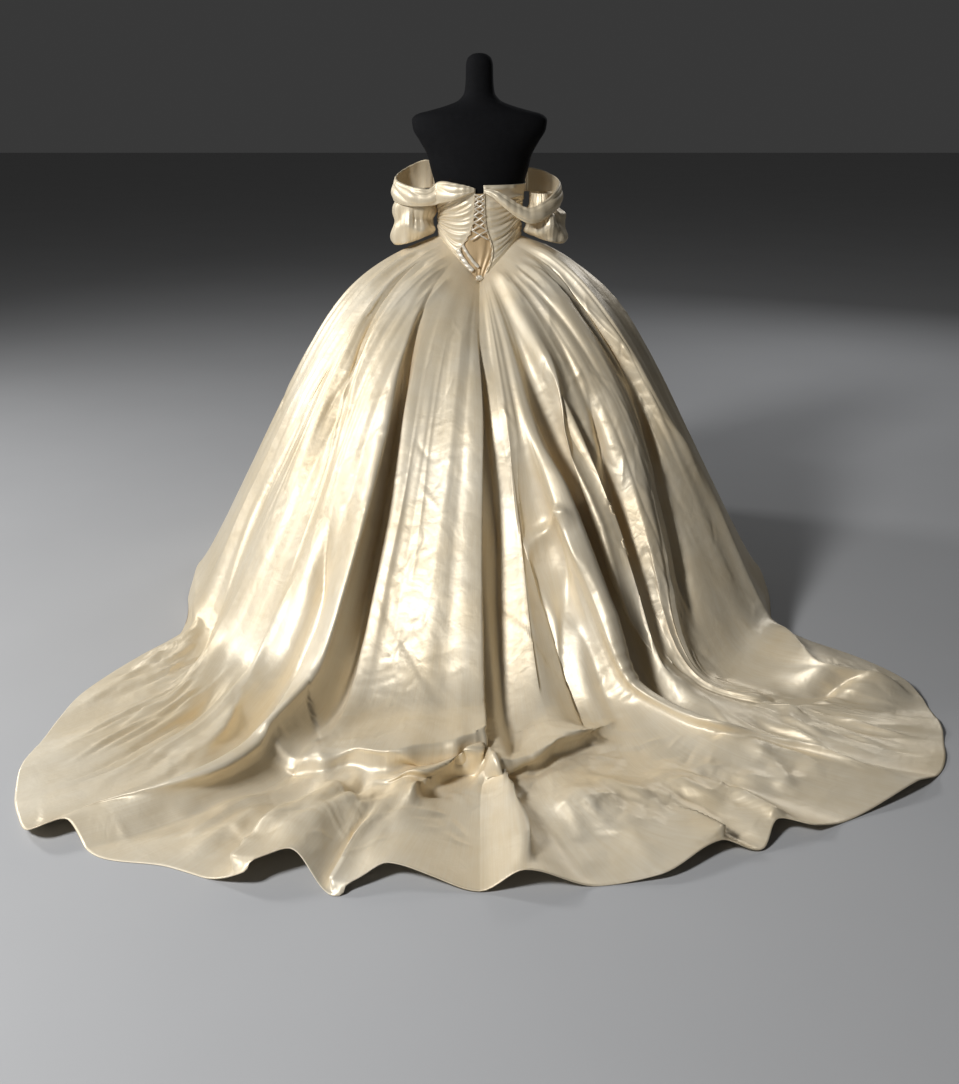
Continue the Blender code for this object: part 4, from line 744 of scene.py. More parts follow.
class Cloth:
    """The skirt's fine grid and the extra height that creases give its points."""

    def __init__(self, points, smooth_points, angles, levels):
        self.points, self.angles, self.levels = points, angles, levels
        self.normals = grid_normals(points, closed=True)
        self.flow = grid_normals(smooth_points, closed=True)
        self.extra = np.zeros(angles.shape)
        self.slide = np.zeros(points.shape)
        self.column_step = np.linalg.norm(np.diff(points, axis=0), axis=-1)
        self.row_step = np.linalg.norm(np.diff(points, axis=1), axis=-1).mean(axis=0)

    def place(self, angle, level):
        """Column and row of a place, with fractions."""
        row = float(np.interp(level, self.levels, np.arange(len(self.levels))))
        line = self.angles[:, int(round(row))]
        return float(np.interp(angle, line, np.arange(len(line)))), row

    def crease(self, line, height, left, right, steps, lean=0.0):
        """Adds a ridge, or a trough where height is below 0, along a line of (angle, level) pairs.

        lean moves its top to the right of the line, as a share of its height.
        """
        way = spline([self.place(angle, level) for angle, level in line], steps)
        columns, rows = self.extra.shape
        way = np.clip(way, 0, [columns - 1.001, rows - 1.001])
        middle = way[len(way) // 2].astype(int)
        narrow = min(self.column_step[int(c), int(r)] for c, r in way[::6])
        cell = np.array([max(narrow, 0.001), self.row_step[min(middle[1], rows - 2)]])
        reach = CREASE_REACH * max(left, right) / cell
        c0, r0 = np.maximum(np.floor(way.min(axis=0) - reach), 0).astype(int)
        c1, r1 = np.minimum(np.ceil(way.max(axis=0) + reach) + 1, [columns, rows]).astype(int)
        i, j = way[:, 0].astype(int), way[:, 1].astype(int)
        f, g = (way[:, 0] - i)[:, None], (way[:, 1] - j)[:, None]
        p = self.points
        upper = p[i, j] * (1 - f) + p[i + 1, j] * f
        lower = p[i, j + 1] * (1 - f) + p[i + 1, j + 1] * f
        path = upper * (1 - g) + lower * g
        block = p[c0:c1, r0:r1].reshape(-1, 3)
        facing = self.normals[c0:c1, r0:r1].reshape(-1, 3)
        nearest = np.full(len(block), 1e9)
        side, share = np.zeros(len(block)), np.zeros(len(block))
        heading = np.zeros((len(block), 3))
        for n, (start, step) in enumerate(zip(path[:-1], np.diff(path, axis=0))):
            t = np.clip((block - start) @ step / max(step @ step, 1e-12), 0, 1)
            offset = block - start - t[:, None] * step
            distance = (offset**2).sum(axis=1)
            nearer = distance < nearest
            nearest = np.where(nearer, distance, nearest)
            share = np.where(nearer, (n + t) / (len(path) - 1), share)
            side = np.where(nearer, (np.cross(step, offset) * facing).sum(axis=1), side)
            heading += step / (distance[:, None] + LEAN_BLEND**2) ** 2
        width = np.where(side < 0, left, right)
        ends = smooth(share / CREASE_END) * smooth((1 - share) / CREASE_END)
        shape = height * ends * np.exp(-(np.sqrt(nearest) / width) ** 1.5)
        self.extra[c0:c1, r0:r1] += shape.reshape(c1 - c0, r1 - r0)
        if lean:
            upright = self.flow[c0:c1, r0:r1].reshape(-1, 3)
            slide = np.cross(upright, unit(heading)) * (shape * lean)[:, None]
            self.slide[c0:c1, r0:r1] += slide.reshape(c1 - c0, r1 - r0, 3)

    def crumple(self, patch):
        """Adds a patch of short bent creases."""
        dice = np.random.default_rng(patch.seed)
        for _ in range(patch.count):
            angle = patch.angle + dice.normal() * patch.angle_spread
            level = min(max(patch.level + dice.normal() * patch.level_spread, 0.06), 1.9)
            length = patch.length * dice.uniform(0.4, 1.5)
            heading = math.radians(patch.heading + dice.normal() * patch.scatter)
            bend = dice.normal() * 0.12
            per_degree = math.radians(1) * (TOP_RADIUS + RADIUS_PER_LEVEL * level)
            per_level = STANDING_LEVEL_LENGTH if level < 1 else LYING_LEVEL_LENGTH
            line = []
            for t in (-0.5, 0.0, 0.5):
                along, aside = length * t, length * bend * (1 - 4 * t * t)
                across = along * math.sin(heading) + aside * math.cos(heading)
                down = along * math.cos(heading) - aside * math.sin(heading)
                line.append((angle + across / per_degree, min(max(level + down / per_level, 0.02), 1.97)))
            height = patch.height / 1000 * dice.uniform(0.4, 1.4) * (1 if dice.random() < 0.65 else -1)
            width = dice.uniform(*CRUMPLE_WIDTHS)
            left, right = width * dice.uniform(0.7, 1.0), width * dice.uniform(0.5, 1.0)
            self.crease(line, height, left, right, CRUMPLE_STEPS)

    def fan(self, fan):
        """Adds long fine creases side by side."""
        dice = np.random.default_rng(fan.seed)
        for k in range(fan.count):
            share = (k + 0.5 + 0.8 * (dice.random() - 0.5)) / fan.count
            first, last = sorted((dice.uniform(0.0, 0.45), dice.uniform(0.6, 1.0)))
            start, middle, end = (a + (b - a) * share for a, b in (fan.start, fan.middle, fan.end))
            line = []
            for along in np.linspace(first, last, 4):
                angle = np.interp(along, (0, .5, 1), (start, middle, end)) + dice.normal() * 0.25
                line.append((angle, np.interp(along, (0, .5, 1), fan.levels)))
            height = fan.height / 1000 * dice.uniform(0.35, 1.3) * (1 if dice.random() < 0.7 else -1)
            left, right = fan.width / 1000 * dice.uniform(0.6, 1.6, 2)
            self.crease(line, height, left, right, FAN_STEPS)


def edge_rows(points, normals):
    """The skirt's grid with the tucked waist edge above it and the turned hem below it."""
    top = points[:, 0]
    towards_axis = top * (-1, -1, 0) / np.linalg.norm(top[:, :2], axis=-1, keepdims=True)
    tucked = top + towards_axis * WAIST_TUCK
    shoulder = top + towards_axis * WAIST_TUCK * 0.3 + np.array([0, 0, 0.0008])
    inside = points - normals * SKIRT_WALL
    inside[..., 2] = np.maximum(inside[..., 2], HEM_CLEARANCE)
    span = np.linalg.norm(points[:, -1] - points[:, -TURNED_ROWS], axis=-1, keepdims=True)
    back = (inside[:, -TURNED_ROWS] - inside[:, -1]) * np.minimum(TURNED_HEM / span, 1.0)
    edge = (points[:, -1] + inside[:, -1]) / 2 + (points[:, -1] - points[:, -2]) * 0.15
    above = np.stack([tucked, shoulder], axis=1)
    below = np.stack([edge, inside[:, -1], inside[:, -2], inside[:, -1] + back], axis=1)
    return np.concatenate([above, points, below], axis=1)


def build_skirt(finish):
    """The five panels, cut from one fine grid so that their seams meet."""
    levels = skirt_levels()
    folds = folds_from_front()
    angles, heights, starts = skirt_grid(folds, levels)
    points = skirt_surface(angles, heights + streak_heights(angles, levels), levels)
    cloth = Cloth(points, skirt_surface(angles, 0 * heights, levels), angles, levels)
    for c in CREASES:
        cloth.crease(c.line, c.height / 1000, c.left / 1000, c.right / 1000, CREASE_STEPS, c.lean)
    for fan in FANS:
        cloth.fan(fan)
    for patch in PATCHES:
        cloth.crumple(patch)
    points = points + cloth.normals * cloth.extra[..., None] + cloth.slide
    points[..., 2] = np.maximum(points[..., 2], SKIRT_WALL)
    whole = edge_rows(points, grid_normals(points, closed=True))
    crushed = np.full(angles.shape, CRUSH_EVERYWHERE)
    for patch in PATCHES:
        across = (angles - patch.angle) / (1.5 * patch.angle_spread)
        down = (levels - patch.level) / (1.5 * patch.level_spread)
        crushed += patch.height / 3 * np.exp(-(across**2 + down**2))
    crushed = np.concatenate([crushed[:, :1]] * 2 + [crushed] + [crushed[:, -1:]] * 4, axis=1)
    names = [f.name for f in folds]
    cuts = [starts[names.index(n)] for n in SEAM_FOLDS]
    front_left = starts[names.index("front_fold_%d" % FRONT_FOLDS_PER_PANEL)]
    front_right = starts[names.index("front_fold_%d" % (FRONT_FOLD_COUNT - FRONT_FOLDS_PER_PANEL))]
    total = len(points)
    spans = (("skirt_back_right", cuts[0], cuts[1]), ("skirt_back_left", cuts[1], cuts[2]),
             ("skirt_side_left", cuts[2], front_left), ("skirt_front", front_left, front_right + total),
             ("skirt_side_right", front_right, cuts[0]))
    for node, first, last in spans:
        picked = np.arange(first, last + 1) % total
        piece = sheet_piece("satin_" + node, whole[picked], finish)
        crush = piece.data.attributes.new("crush", "FLOAT", "POINT")
        crush.data.foreach_set("value", crushed[picked].astype(np.float32).ravel())
        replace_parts(piece, node)


# The bodice

def on_body(angle, height, offset):
    """A point of the given offset outside the dress form."""
    radius = body_radius(angle, height) + offset
    turned = np.radians(angle)
    return np.stack([radius * np.sin(turned), radius * np.cos(turned), height], axis=-1)


def opening_edge(up, side):
    """Angle of the opening's edge at a share of the bodice's height at the centre back."""
    reach = monotone(up, [o.share for o in OPENING], [o.left if side > 0 else o.right for o in OPENING])
    return np.degrees(np.arctan2(reach, np.sqrt(BACK_RADIUS**2 - 0.7 * reach**2)))


def pleat(phase):
    """A row of soft pleats, from 0 to 1, with rounded tops and narrow valleys, uneven in height."""
    uneven = 0.8 + 0.2 * np.sin(phase * 2.4 + 0.8)
    return uneven * np.abs(np.cos(math.pi * phase)) ** 0.75


def cloth_grid(grid, first=-1.0):
    """Shares across a piece, from first to 1, and up it, from 0 to 1, for each point of its grid."""
    return np.meshgrid(np.linspace(first, 1, grid[0]), np.linspace(0, 1, grid[1]), indexing="ij")


def build_bodice_back(node, side, top, finish):
    """One ruched back panel, from the laced opening to the side seam."""
    across, up = cloth_grid(BODICE_BACK_GRID, 0.0)
    edge = opening_edge(up, side)
    angle = edge + (BODICE_SIDE_ANGLE - edge) * across
    foot_edge = opening_edge(0 * up, side)
    foot = waist_height(foot_edge + (BODICE_SIDE_ANGLE - foot_edge) * across) - BODICE_FOOT_LAP
    height = foot + (top - foot) * up
    fan = 1.05 - (0.60 if side > 0 else 0.15) * across
    phase = RUCHE_FOLDS * up / fan + 0.5 * across * (0 if side > 0 else 1) + 0.1 * np.sin(5 * across)
    small = np.cos(2 * math.pi * (2.3 * phase + 0.8 * np.sin(3 * across + 2 * up)))
    sides = smooth(across / 0.16) * smooth((1 - across) / 0.08)
    fade = sides * smooth(up / 0.26) * smooth((0.87 - up) / 0.09)
    rise = (1.15 * RUCHE_HEIGHT * pleat(phase) + SMALL_RUCHE_HEIGHT * small) * fade
    if side < 0:
        puckers = 1 + 0.5 * np.sin(24 * across + 2 * np.sin(9 * across))
        roll = TOP_ROLL * puckers * np.exp(-((up - 0.955) / 0.03) ** 2)
        rise = rise + roll * smooth((0.8 - across) / 0.2)
    inner = on_body(angle * side, height, BODICE_INNER)
    outer = on_body(angle * side, height, BODICE_OUTER + rise)
    order = slice(None, None, side)
    return place_cloth(node, inner[order, ::-1], outer[order, ::-1], finish)


def place_cloth(node, inner, outer, finish, closed=False, slot="satin"):
    """A wall of cloth in place of its node, whose CAD part is hidden."""
    piece = wall_piece("satin_" + node, inner, outer, finish, slot, closed)
    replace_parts(piece, node)
    return piece


def build_bodice_front(finish):
    """The front of the bodice between the side seams, with soft folds across it."""
    across, up = cloth_grid(BODICE_FRONT_GRID)
    angle = 180 + across * (180 - BODICE_SIDE_ANGLE)
    foot = waist_height(angle) - BODICE_FOOT_LAP
    dip = BODICE_DIP * np.exp(-(across / 0.18) ** 2)
    side_top = np.where(across < 0, BODICE_TOP_LEFT, BODICE_TOP_RIGHT)
    top = side_top + (BODICE_TOP_FRONT - side_top) * smooth((1 - np.abs(across)) / 0.45) - dip
    height = foot + (top - foot) * up
    phase = 5.5 * up - 1.2 * np.abs(across) + 0.08 * np.sin(7 * across)
    small = np.cos(2 * math.pi * (2.2 * phase + 0.7 * np.sin(4 * across + 3 * up)))
    fade = smooth((1 - np.abs(across)) / 0.06) * smooth(up / 0.10) * smooth((0.82 - up) / 0.12)
    rise = (0.9 * RUCHE_HEIGHT * pleat(phase) + SMALL_RUCHE_HEIGHT * small) * fade
    inner = on_body(angle, height, BODICE_INNER)[:, ::-1]
    outer = on_body(angle, height, BODICE_OUTER + rise)[:, ::-1]
    place_cloth("bodice_front", inner, outer, finish)


def build_modesty_panel(finish):
    """The panel behind the lacing, with slack upright wrinkles."""
    across, up = cloth_grid(PANEL_GRID)
    angle = PANEL_HALF_ANGLE * across * (0.35 + 0.65 * smooth(up / 0.35))
    height = PANEL_FOOT + (PANEL_TOP - PANEL_FOOT) * up
    wrinkle = 0.5 + 0.5 * np.sin(17 * across + 5 * up + 2.2 * np.sin(6 * up + 4 * across))
    room = smooth((1 - np.abs(across)) / 0.55) * smooth((0.36 - np.abs(up - 0.30)) / 0.20)
    inner = on_body(angle, height, REST_GAP + PANEL_EASE + 0.0008 * wrinkle * room)
    outer = on_body(angle, height, REST_GAP + PANEL_EASE + PANEL_WALL + 0.0028 * wrinkle * room)
    place_cloth("modesty_panel", inner[:, ::-1], outer[:, ::-1], finish,
                slot="satin_shade")


# The band and the sleeves

def clear_of_body(points, offset):
    """Moves points that are nearer to the form than offset straight out from its axis."""
    angle = np.degrees(np.arctan2(points[..., 0], points[..., 1]))
    distance = np.hypot(points[..., 0], points[..., 1])
    grow = np.maximum((body_radius(angle, points[..., 2]) + offset) / distance, 1.0)
    return points * np.stack([grow, grow, np.ones_like(grow)], axis=-1)


def band_wave(count):
    """Lengthwise pleats of the band, and a rolled top edge, along count columns."""
    share = np.linspace(0, 1, BAND_FINE_ROWS)[None, :]
    along = np.linspace(0, 1, count)[:, None]
    drift = 0.25 * np.sin(23 * along) + 0.18 * np.sin(51 * along + 1)
    folds = pleat(1.7 * share + 6.5 * along + drift) * smooth(share / 0.25) * smooth((1 - share) / 0.2)
    roll = np.exp(-((share - 0.06) / 0.05) ** 2)
    cross = 0.5 * np.sin(140 * along + 4 * share) * np.sin(37 * along) * np.sin(math.pi * share)
    return 0.0042 * folds + 0.0020 * roll + 0.0010 * cross


def build_band(finish):
    """The off-shoulder band in three lengths: round each arm, and across the front."""
    rows = list(BAND_LEFT) + [BAND_CENTRE] + list(reversed(BAND_RIGHT))
    line = spline(rows, (len(rows) - 1) * BAND_FINE_STEPS + 1)
    along = unit(np.gradient(line[:, :2], axis=0))
    outward = np.stack([-along[:, 1], along[:, 0]], axis=1)
    share = np.linspace(0, 1, BAND_FINE_ROWS)[None, :]
    flare = line[:, 4][:, None]
    push = flare * share + BAND_BULGE * np.sin(math.pi * share) * np.minimum(1, flare / 0.006)
    inner = np.empty((len(line), BAND_FINE_ROWS, 3))
    inner[..., :2] = line[:, None, :2] + outward[:, None] * push[..., None]
    inner[..., 2] = line[:, 2][:, None] + (line[:, 3] - line[:, 2])[:, None] * share
    inner = clear_of_body(inner, BODICE_OUTER + REST_GAP)
    open_ends = smooth(np.minimum(np.arange(len(line)), np.arange(len(line))[::-1]) / 8)[:, None]
    place = np.linspace(0, 1, len(line))[:, None]
    gathers = 0.0009 * np.sin(190 * place + 9 * np.sin(21 * place)) * (1 - 0.7 * share)
    facing = grid_normals(inner)
    inner = clear_of_body(inner + facing * (gathers * open_ends)[..., None], BODICE_OUTER + REST_GAP)
    rise = BAND_WALL + band_wave(len(line)) * open_ends
    outer = clear_of_body(inner + facing * rise[..., None], BODICE_OUTER + REST_GAP + BAND_WALL)
    cut_left = (len(BAND_LEFT) - 3) * BAND_FINE_STEPS
    cut_right = (len(BAND_LEFT) + 3) * BAND_FINE_STEPS
    spans = (("collar_left", 0, cut_left), ("collar_front", cut_left, cut_right),
             ("collar_right", cut_right, len(line) - 1))
    for node, first, last in spans:
        place_cloth(node, inner[first:last + 1], outer[first:last + 1], finish)


def build_sleeve(node, rings, side, finish):
    """A puff sleeve as an open tube through its rings, gathered where the elastic runs."""
    columns, rows = SLEEVE_GRID
    angle = np.linspace(0, 360, columns, endpoint=False)[:, None]
    s, c = np.sin(np.radians(angle)), np.cos(np.radians(angle))
    sizes = spline(rings, rows)
    out, back, height, wide, deep, slope, gather = (sizes[:, k][None, :] for k in range(7))
    down = np.linspace(0, 1, rows)[None, :]
    turned = np.radians(angle)
    uneven = (0.38 * np.sin(2 * turned + 1) + 0.24 * np.sin(5 * turned + 2)
              + 0.16 * np.sin(3 * turned + 5 * down))
    phase = SLEEVE_GATHERS * turned / math.tau + uneven
    main = (0.75 + 0.25 * np.sin(3 * turned + 1)) * np.abs(np.cos(math.pi * phase)) ** 0.75 - 0.5
    small = np.sin(31 * turned + 5 * down + 2 * np.sin(4 * turned)) * 0.5
    rings = np.sin(13 * down + 1.3 * np.sin(2 * turned + 1.1) + 0.7 * np.sin(5 * turned))
    dents = np.sin(5 * turned + 7 * down) * np.sin(3 * turned - 8 * down + 2)
    puff = (0.0042 * rings + 0.0050 * dents) * np.sin(math.pi * down)
    wave = gather * (1.1 * main + 0.3 * small) + puff
    if side < 0:
        off = turn(angle - DENT_ANGLE) / DENT_WIDTH
        wave = wave - DENT_DEPTH * np.exp(-off**2 - ((height - DENT_HEIGHT) / DENT_REACH) ** 2)
    outer = np.stack([side * (out + (wide + wave) * s), back + (deep + wave) * c,
                      height - slope * wide * s], axis=-1)
    outer = outer[::side]
    inner = outer - grid_normals(outer, closed=True) * SLEEVE_WALL
    place_cloth(node, inner, outer, finish, closed=True)


# The lacing

def tube_points(path, radius):
    """Rings of points round a path, as columns along it by rows round it."""
    along = unit(np.gradient(path, axis=0))
    outward = unit(path * (1, 1, 0))
    outward = unit(outward - along * (outward * along).sum(axis=1, keepdims=True))
    aside = np.cross(along, outward)
    round_it = np.linspace(0, math.tau, CORD_SIDES, endpoint=False)[:, None, None]
    return path + radius * (np.cos(round_it) * outward + np.sin(round_it) * aside)


def cord_piece(name, paths, radius, finish, slot="satin"):
    """Round cords along several paths, as one mesh."""
    points, faces, uvs, used = [], [], [], 0
    for path in paths:
        rings = tube_points(path, radius)[::-1]
        corners = quads(CORD_SIDES, len(path), closed=True)
        u, v = flat_sizes(rings, closed=True)
        faces.append(corners[..., 0] % CORD_SIDES * len(path) + corners[..., 1] + used)
        uvs.append(np.stack([u[corners[..., 0]], v[corners[..., 1]]], axis=-1))
        points.append(rings.reshape(-1, 3))
        used += rings.size // 3
    whole = (np.concatenate(part) for part in (points, faces, uvs))
    return mesh_piece(name, *whole, finish, slot)


def build_loops(node, side, finish):
    """The row of button loops on the opening's edge, and the cord they are sewn under."""
    count = LOOP_COUNT * LOOP_STEPS + 1
    up = np.linspace(0.23 if side > 0 else 0.10, 0.92, count)
    foot = waist_height(opening_edge(np.zeros(count), side))
    top = BODICE_TOP_LEFT if side > 0 else BODICE_TOP_RIGHT
    height = foot + (top - foot) * up
    swing = np.linspace(0, math.tau * LOOP_COUNT, count)
    bow = (0.5 - 0.5 * np.cos(swing)) ** 0.6
    paths = []
    loops_and_cord = ((LOOP_INSET - LOOP_REACH * bow, 0.0012 * np.sin(swing), 0.0),
                      (LOOP_INSET + 0 * bow, 0.0, 0.0006))
    for inward, along, lift in loops_and_cord:
        angle = side * (opening_edge(up, side) + np.degrees(inward / BACK_RADIUS))
        paths.append(on_body(angle, height + along, BODICE_OUTER + LOOP_GAP + LOOP_CORD_RADIUS + lift))
    piece = cord_piece("satin_" + node, paths, LOOP_CORD_RADIUS, finish)
    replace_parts(piece, node)


def ribbon_path(turns, steps):
    """Angles and heights of a ribbon that runs straight from each turn to the next."""
    fine = np.linspace(0, len(turns) - 1, (len(turns) - 1) * steps + 1)
    angle = np.interp(fine, range(len(turns)), [t.angle for t in turns])
    height = np.interp(fine, range(len(turns)), [t.height for t in turns])
    return fine, angle, height


def build_ribbon(node, turns, width, finish, cupped, name=None, raised=0.0):
    """A flat ribbon over the loops, a little cupped across its width."""
    fine, angle, height = ribbon_path(turns, RIBBON_STEPS)
    offset = BODICE_OUTER + LOOP_GAP + 2 * LOOP_CORD_RADIUS + SEAM_GAP + raised
    along = unit(np.stack([np.gradient(np.radians(angle) * BACK_RADIUS), np.gradient(height)], axis=1))
    share = np.linspace(-0.5, 0.5, RIBBON_COLUMNS)[:, None]
    narrow = width * (0.82 + 0.18 * np.abs(np.sin(math.pi * fine)))
    edge_angle = angle - np.degrees(along[:, 1] * narrow * share / BACK_RADIUS)
    edge_height = height + along[:, 0] * narrow * share
    lift = cupped * (0.25 - share**2) * 4 + 0.0006 * np.sin(9 * fine + 5 * share)
    inner = on_body(edge_angle, edge_height, offset + 0.0004 + lift)
    outer = on_body(edge_angle, edge_height, offset + 0.0004 + RIBBON_WALL * 0.7 + lift)
    facing = grid_normals(outer)
    order = slice(None, None, 1 if (facing[4, 4] * outer[4, 4] * (1, 1, 0)).sum() > 0 else -1)
    piece = wall_piece(name or "ribbon_" + node, inner[order], outer[order], finish, "ribbon")
    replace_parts(piece, node)
    return piece, on_body(angle, height, offset + RIBBON_WALL / 2 + 0 * angle)


def build_lacing(finish):
    """The laced ribbon, its two free ends, and the knot at the foot of the opening."""
    crossed = [Turn(-t.angle, t.height) for t in LACING_TURNS]
    build_ribbon("lacing", LACING_TURNS, LACE_WIDTH, finish, 0.0004)
    build_ribbon("lacing", crossed, LACE_WIDTH, finish, 0.0004, "ribbon_lacing_crossed", LACE_LIFT)
    ends = (("ribbon_end_long", END_LONG_TURNS, RIBBON_WIDE),
            ("ribbon_end_short", END_SHORT_TURNS, RIBBON_SHORT_WIDE))
    for node, turns, width in ends:
        piece, path = build_ribbon(node, turns, width, finish, 0.0012)
    build_knot(finish)


def build_knot(finish):
    """The knot: a small lumpy ball that rests on the skirt's top edge."""
    columns, rows = KNOT_GRID
    around = np.linspace(0, math.tau, columns, endpoint=False)[:, None]
    polar = np.linspace(0.05, math.pi - 0.05, rows)[None, :]
    lump = 1 + 0.16 * np.sin(3 * around + 4 * polar) * np.sin(polar) + 0.07 * np.sin(7 * around - 5 * polar)
    x, y, z = (size * lump for size in KNOT_SIZE)
    ball = np.stack([x * np.sin(polar) * np.sin(around), y * np.sin(polar) * np.cos(around),
                     z * np.cos(polar)], axis=-1)
    seat = on_body(np.array([0.0]), np.array([KNOT_HEIGHT]), BODICE_OUTER + KNOT_STAND + KNOT_SIZE[1])[0]
    knot = sheet_piece("ribbon_lacing_knot", ball + seat, finish, "ribbon", closed=True)
    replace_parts(knot, "lacing_knot")


# The dress form

def build_form(finish):
    """The form's torso and neck, smooth all over."""
    columns, rows = FORM_GRID
    angle = np.linspace(0, 360, columns, endpoint=False)
    rings = [on_body(angle, np.full(columns, z), 0.0)
             for z in np.linspace(BODY[0].height, BODY[-1].height, rows)[::-1]]
    cap = [rings[0] * (k, k, 0) + np.array([0, 0, z])
           for k, z in ((0.03, FORM_TOP), (0.5, FORM_TOP - 0.0008))]
    foot = [rings[-1] * (k, k, 0) + np.array([0, 0, z])
            for k, z in ((0.97, BODY[0].height - 0.003), (0.03, FORM_BOTTOM))]
    grid = np.stack(cap + rings + foot, axis=1)
    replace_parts(sheet_piece("jersey_torso", grid, finish, "form_cloth", closed=True), "form_torso")


# Materials

def new_finish(name):
    """A material and its shader, and short ways to add a node and to fill a node's inputs."""
    made = bpy.data.materials.new(name)
    made.use_nodes = True
    tree = made.node_tree

    def fill(node, inputs):
        for socket, value in inputs.items():
            if isinstance(value, bpy.types.NodeSocket):
                tree.links.new(value, node.inputs[socket])
            else:
                node.inputs[socket].default_value = value

    def add(kind, inputs, **settings):
        node = tree.nodes.new("ShaderNode" + kind)
        for key, value in settings.items():
            setattr(node, key, value)
        fill(node, inputs)
        return node

    return made, tree.nodes["Principled BSDF"], add, fill


def two_tones(add, share, first, last, ends=(0.0, 1.0)):
    """A colour that runs from one tone to the other as share goes from one end to the other."""
    ramp = add("ValToRGB", {"Fac": share})
    for stop, tone, end in zip(ramp.color_ramp.elements, (first, last), ends):
        stop.color, stop.position = tone, end
    return ramp.outputs["Color"]


def satin_finish(name, light, deep, roughness, metallic):
    """Satin: slow changes of tone, fine threads, a lengthwise gloss, soft dents and small facets."""
    made, shader, add, fill = new_finish(name)
    place = add("TexCoord", {}).outputs["Object"]
    flat = add("UVMap", {}, uv_map="flat").outputs["UV"]
    tone = add("TexNoise", {"Vector": place, "Scale": 3.2, "Detail": 4.0, "Roughness": 0.6})
    stretched = add("Mapping", {"Vector": flat, "Scale": (420.0, 9.0, 1.0)})
    slubs = add("TexNoise", {"Vector": stretched.outputs["Vector"], "Scale": 1.0, "Detail": 2.0})
    mixed = add("Math", {0: slubs.outputs["Fac"], 1: 0.3, 2: tone.outputs["Fac"]}, operation="MULTIPLY_ADD")
    rough = add("MapRange", {"Value": slubs.outputs["Fac"], "To Min": roughness - 0.06,
                             "To Max": roughness + 0.08})
    tangent = add("Tangent", {}, direction_type="UV_MAP", uv_map="flat")
    threads = add("TexWave", {"Vector": flat, "Scale": 420.0, "Distortion": 0.6, "Detail": 1.0},
                  bands_direction="DIAGONAL")
    weave = add("Bump", {"Height": threads.outputs["Fac"], "Strength": 0.25, "Distance": 0.00006})
    dents = add("TexNoise", {"Vector": place, "Scale": 15.0, "Detail": 3.0, "Roughness": 0.55,
                             "Distortion": 0.5})
    bump = add("Bump", {"Height": dents.outputs["Fac"], "Normal": weave.outputs["Normal"],
                        "Strength": 0.35, "Distance": 0.004})
    bent = add("TexNoise", {"Vector": place, "Scale": 7.0, "Detail": 2.0})
    spread = add("VectorMath", {0: bent.outputs["Color"], "Scale": 0.10}, operation="SCALE")
    moved = add("VectorMath", {0: place, 1: spread.outputs["Vector"]}, operation="ADD")
    crush = add("Attribute", {}, attribute_name="crush")
    for scale, distance in ((13.0, 0.0022), (31.0, 0.0009)):
        cells = add("TexVoronoi", {"Vector": moved.outputs["Vector"], "Scale": scale},
                    feature="DISTANCE_TO_EDGE")
        bump = add("Bump", {"Height": cells.outputs["Distance"], "Strength": crush.outputs["Fac"],
                            "Normal": bump.outputs["Normal"], "Distance": distance})
    fill(shader, {"Base Color": two_tones(add, mixed.outputs[0], deep, light, (0.35, 0.85)),
                  "Roughness": rough.outputs["Result"], "Metallic": metallic, "Anisotropic": 0.45,
                  "Tangent": tangent.outputs["Tangent"], "Normal": bump.outputs["Normal"]})
    return made


def jersey_finish():
    """The form's black jersey: fine knitted ribs and a little lint."""
    made, shader, add, fill = new_finish("black_jersey")
    place = add("TexCoord", {}).outputs["Object"]
    flat = add("UVMap", {}, uv_map="flat").outputs["UV"]
    lint = add("TexNoise", {"Vector": place, "Scale": 60.0, "Detail": 5.0, "Roughness": 0.7})
    ribs = add("TexWave", {"Vector": flat, "Scale": 260.0, "Distortion": 0.4})
    bump = add("Bump", {"Height": ribs.outputs["Fac"], "Strength": 0.3, "Distance": 0.0003})
    tones = two_tones(add, lint.outputs["Fac"], (.002, .002, .0025, 1), (.007, .007, .008, 1))
    fill(shader, {"Base Color": tones, "Roughness": 0.85, "Specular IOR Level": 0.15,
                  "Normal": bump.outputs["Normal"]})
    return made


def metal_finish():
    """Painted black steel with fine scuffs."""
    made, shader, add, fill = new_finish("black_steel")
    place = add("TexCoord", {}).outputs["Object"]
    scuffs = add("TexNoise", {"Vector": place, "Scale": 35.0, "Detail": 6.0})
    rough = add("MapRange", {"Value": scuffs.outputs["Fac"], "To Min": 0.3, "To Max": 0.5})
    tones = two_tones(add, scuffs.outputs["Fac"], (.02, .02, .022, 1), (.045, .045, .048, 1))
    fill(shader, {"Base Color": tones, "Roughness": rough.outputs["Result"], "Metallic": 0.6})
    return made


def floor_finish():
    """A plain pale grey that hardly changes."""
    made, shader, add, fill = new_finish("pale_floor")
    place = add("TexCoord", {}).outputs["Object"]
    cloud = add("TexNoise", {"Vector": place, "Scale": 1.5, "Detail": 3.0})
    tones = two_tones(add, cloud.outputs["Fac"], (.46, .46, .46, 1), (.50, .50, .50, 1))
    fill(shader, {"Base Color": tones, "Roughness": 0.8})
    return made


# The studio

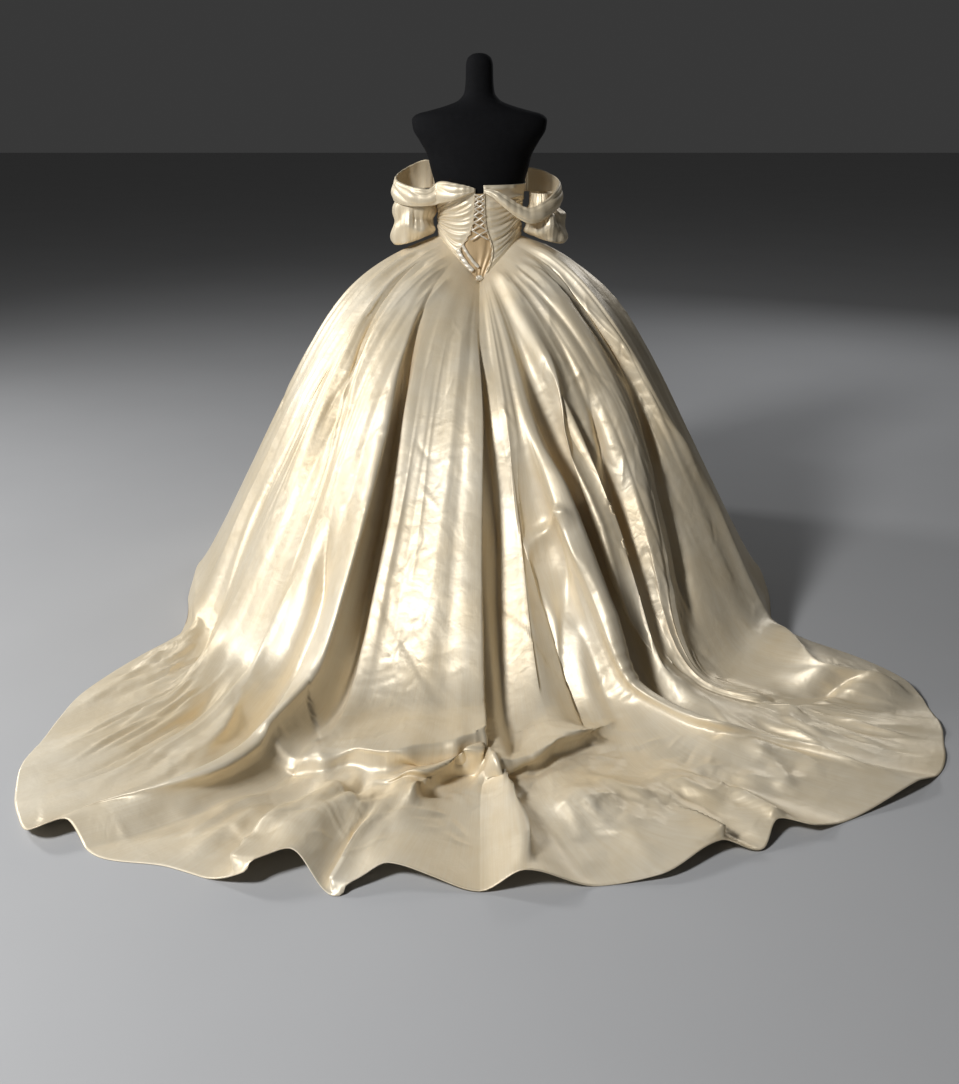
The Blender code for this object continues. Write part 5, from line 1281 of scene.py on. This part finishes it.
def build_camera():
    """A camera where the photograph was taken."""
    lens = bpy.data.cameras.new("camera")
    lens.lens, lens.sensor_width = CAMERA_LENS, SENSOR_WIDTH
    camera = put("camera", lens)
    camera.location = CAMERA_PLACE
    camera.rotation_euler = (math.radians(CAMERA_TILT), 0, math.pi)
    bpy.context.scene.camera = camera


def build_light(light):
    """A soft square light that faces its target."""
    made = bpy.data.lights.new(light.name, "AREA")
    made.size, made.energy, made.color = light.size, light.power, light.color
    lamp = put(light.name, made)
    lamp.location = light.place
    lamp.rotation_euler = (Vector(light.target) - Vector(light.place)).to_track_quat("-Z", "Y").to_euler()


def build_studio():
    """The camera, soft lights, a dim even surround and a pale floor."""
    build_camera()
    for light in LIGHTS:
        build_light(light)
    world = bpy.data.worlds.new("studio")
    world.use_nodes = True
    world.node_tree.nodes["Background"].inputs["Color"].default_value = WORLD_COLOR
    world.node_tree.nodes["Background"].inputs["Strength"].default_value = WORLD_STRENGTH
    bpy.context.scene.world = world
    bpy.context.scene.view_settings.view_transform = "Standard"
    mesh = bpy.data.meshes.new("floor")
    corners = [(FLOOR_REACH * x, FLOOR_REACH * y, 0) for x, y in ((-1, -1), (1, -1), (1, 1), (-1, 1))]
    mesh.from_pydata(corners, [], [(0, 1, 2, 3)])
    mesh.materials.append(floor_finish())
    put("floor", mesh)


build_studio()
build_lacing(satin_finish("white_ribbon_satin", (.78, .72, .60, 1), (.66, .58, .44, 1), 0.36, 0.15))
gown_satin = satin_finish("champagne_satin", (.88, .79, .62, 1), (.76, .61, .38, 1), 0.44, 0.30)
build_skirt(gown_satin)
build_bodice_back("bodice_back_left", 1, BODICE_TOP_LEFT, gown_satin)
build_bodice_back("bodice_back_right", -1, BODICE_TOP_RIGHT, gown_satin)
build_bodice_front(gown_satin)
# The panel is the gown's own satin; its darker, deeper gold tones are painted shade, as it looks in shadow
# behind the lacing.
build_modesty_panel(satin_finish("shaded_panel_satin", (.66, .48, .27, 1), (.50, .34, .17, 1), 0.42, 0.15))
build_band(gown_satin)
build_sleeve("sleeve_left", SLEEVE_LEFT, 1, gown_satin)
build_sleeve("sleeve_right", SLEEVE_RIGHT, -1, gown_satin)
build_loops("loops_left", 1, gown_satin)
build_loops("loops_right", -1, gown_satin)
build_form(jersey_finish())
black_steel = metal_finish()
for node in ("form_pole", "form_base"):
    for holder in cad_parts[node].material_slots:
        holder.material = black_steel
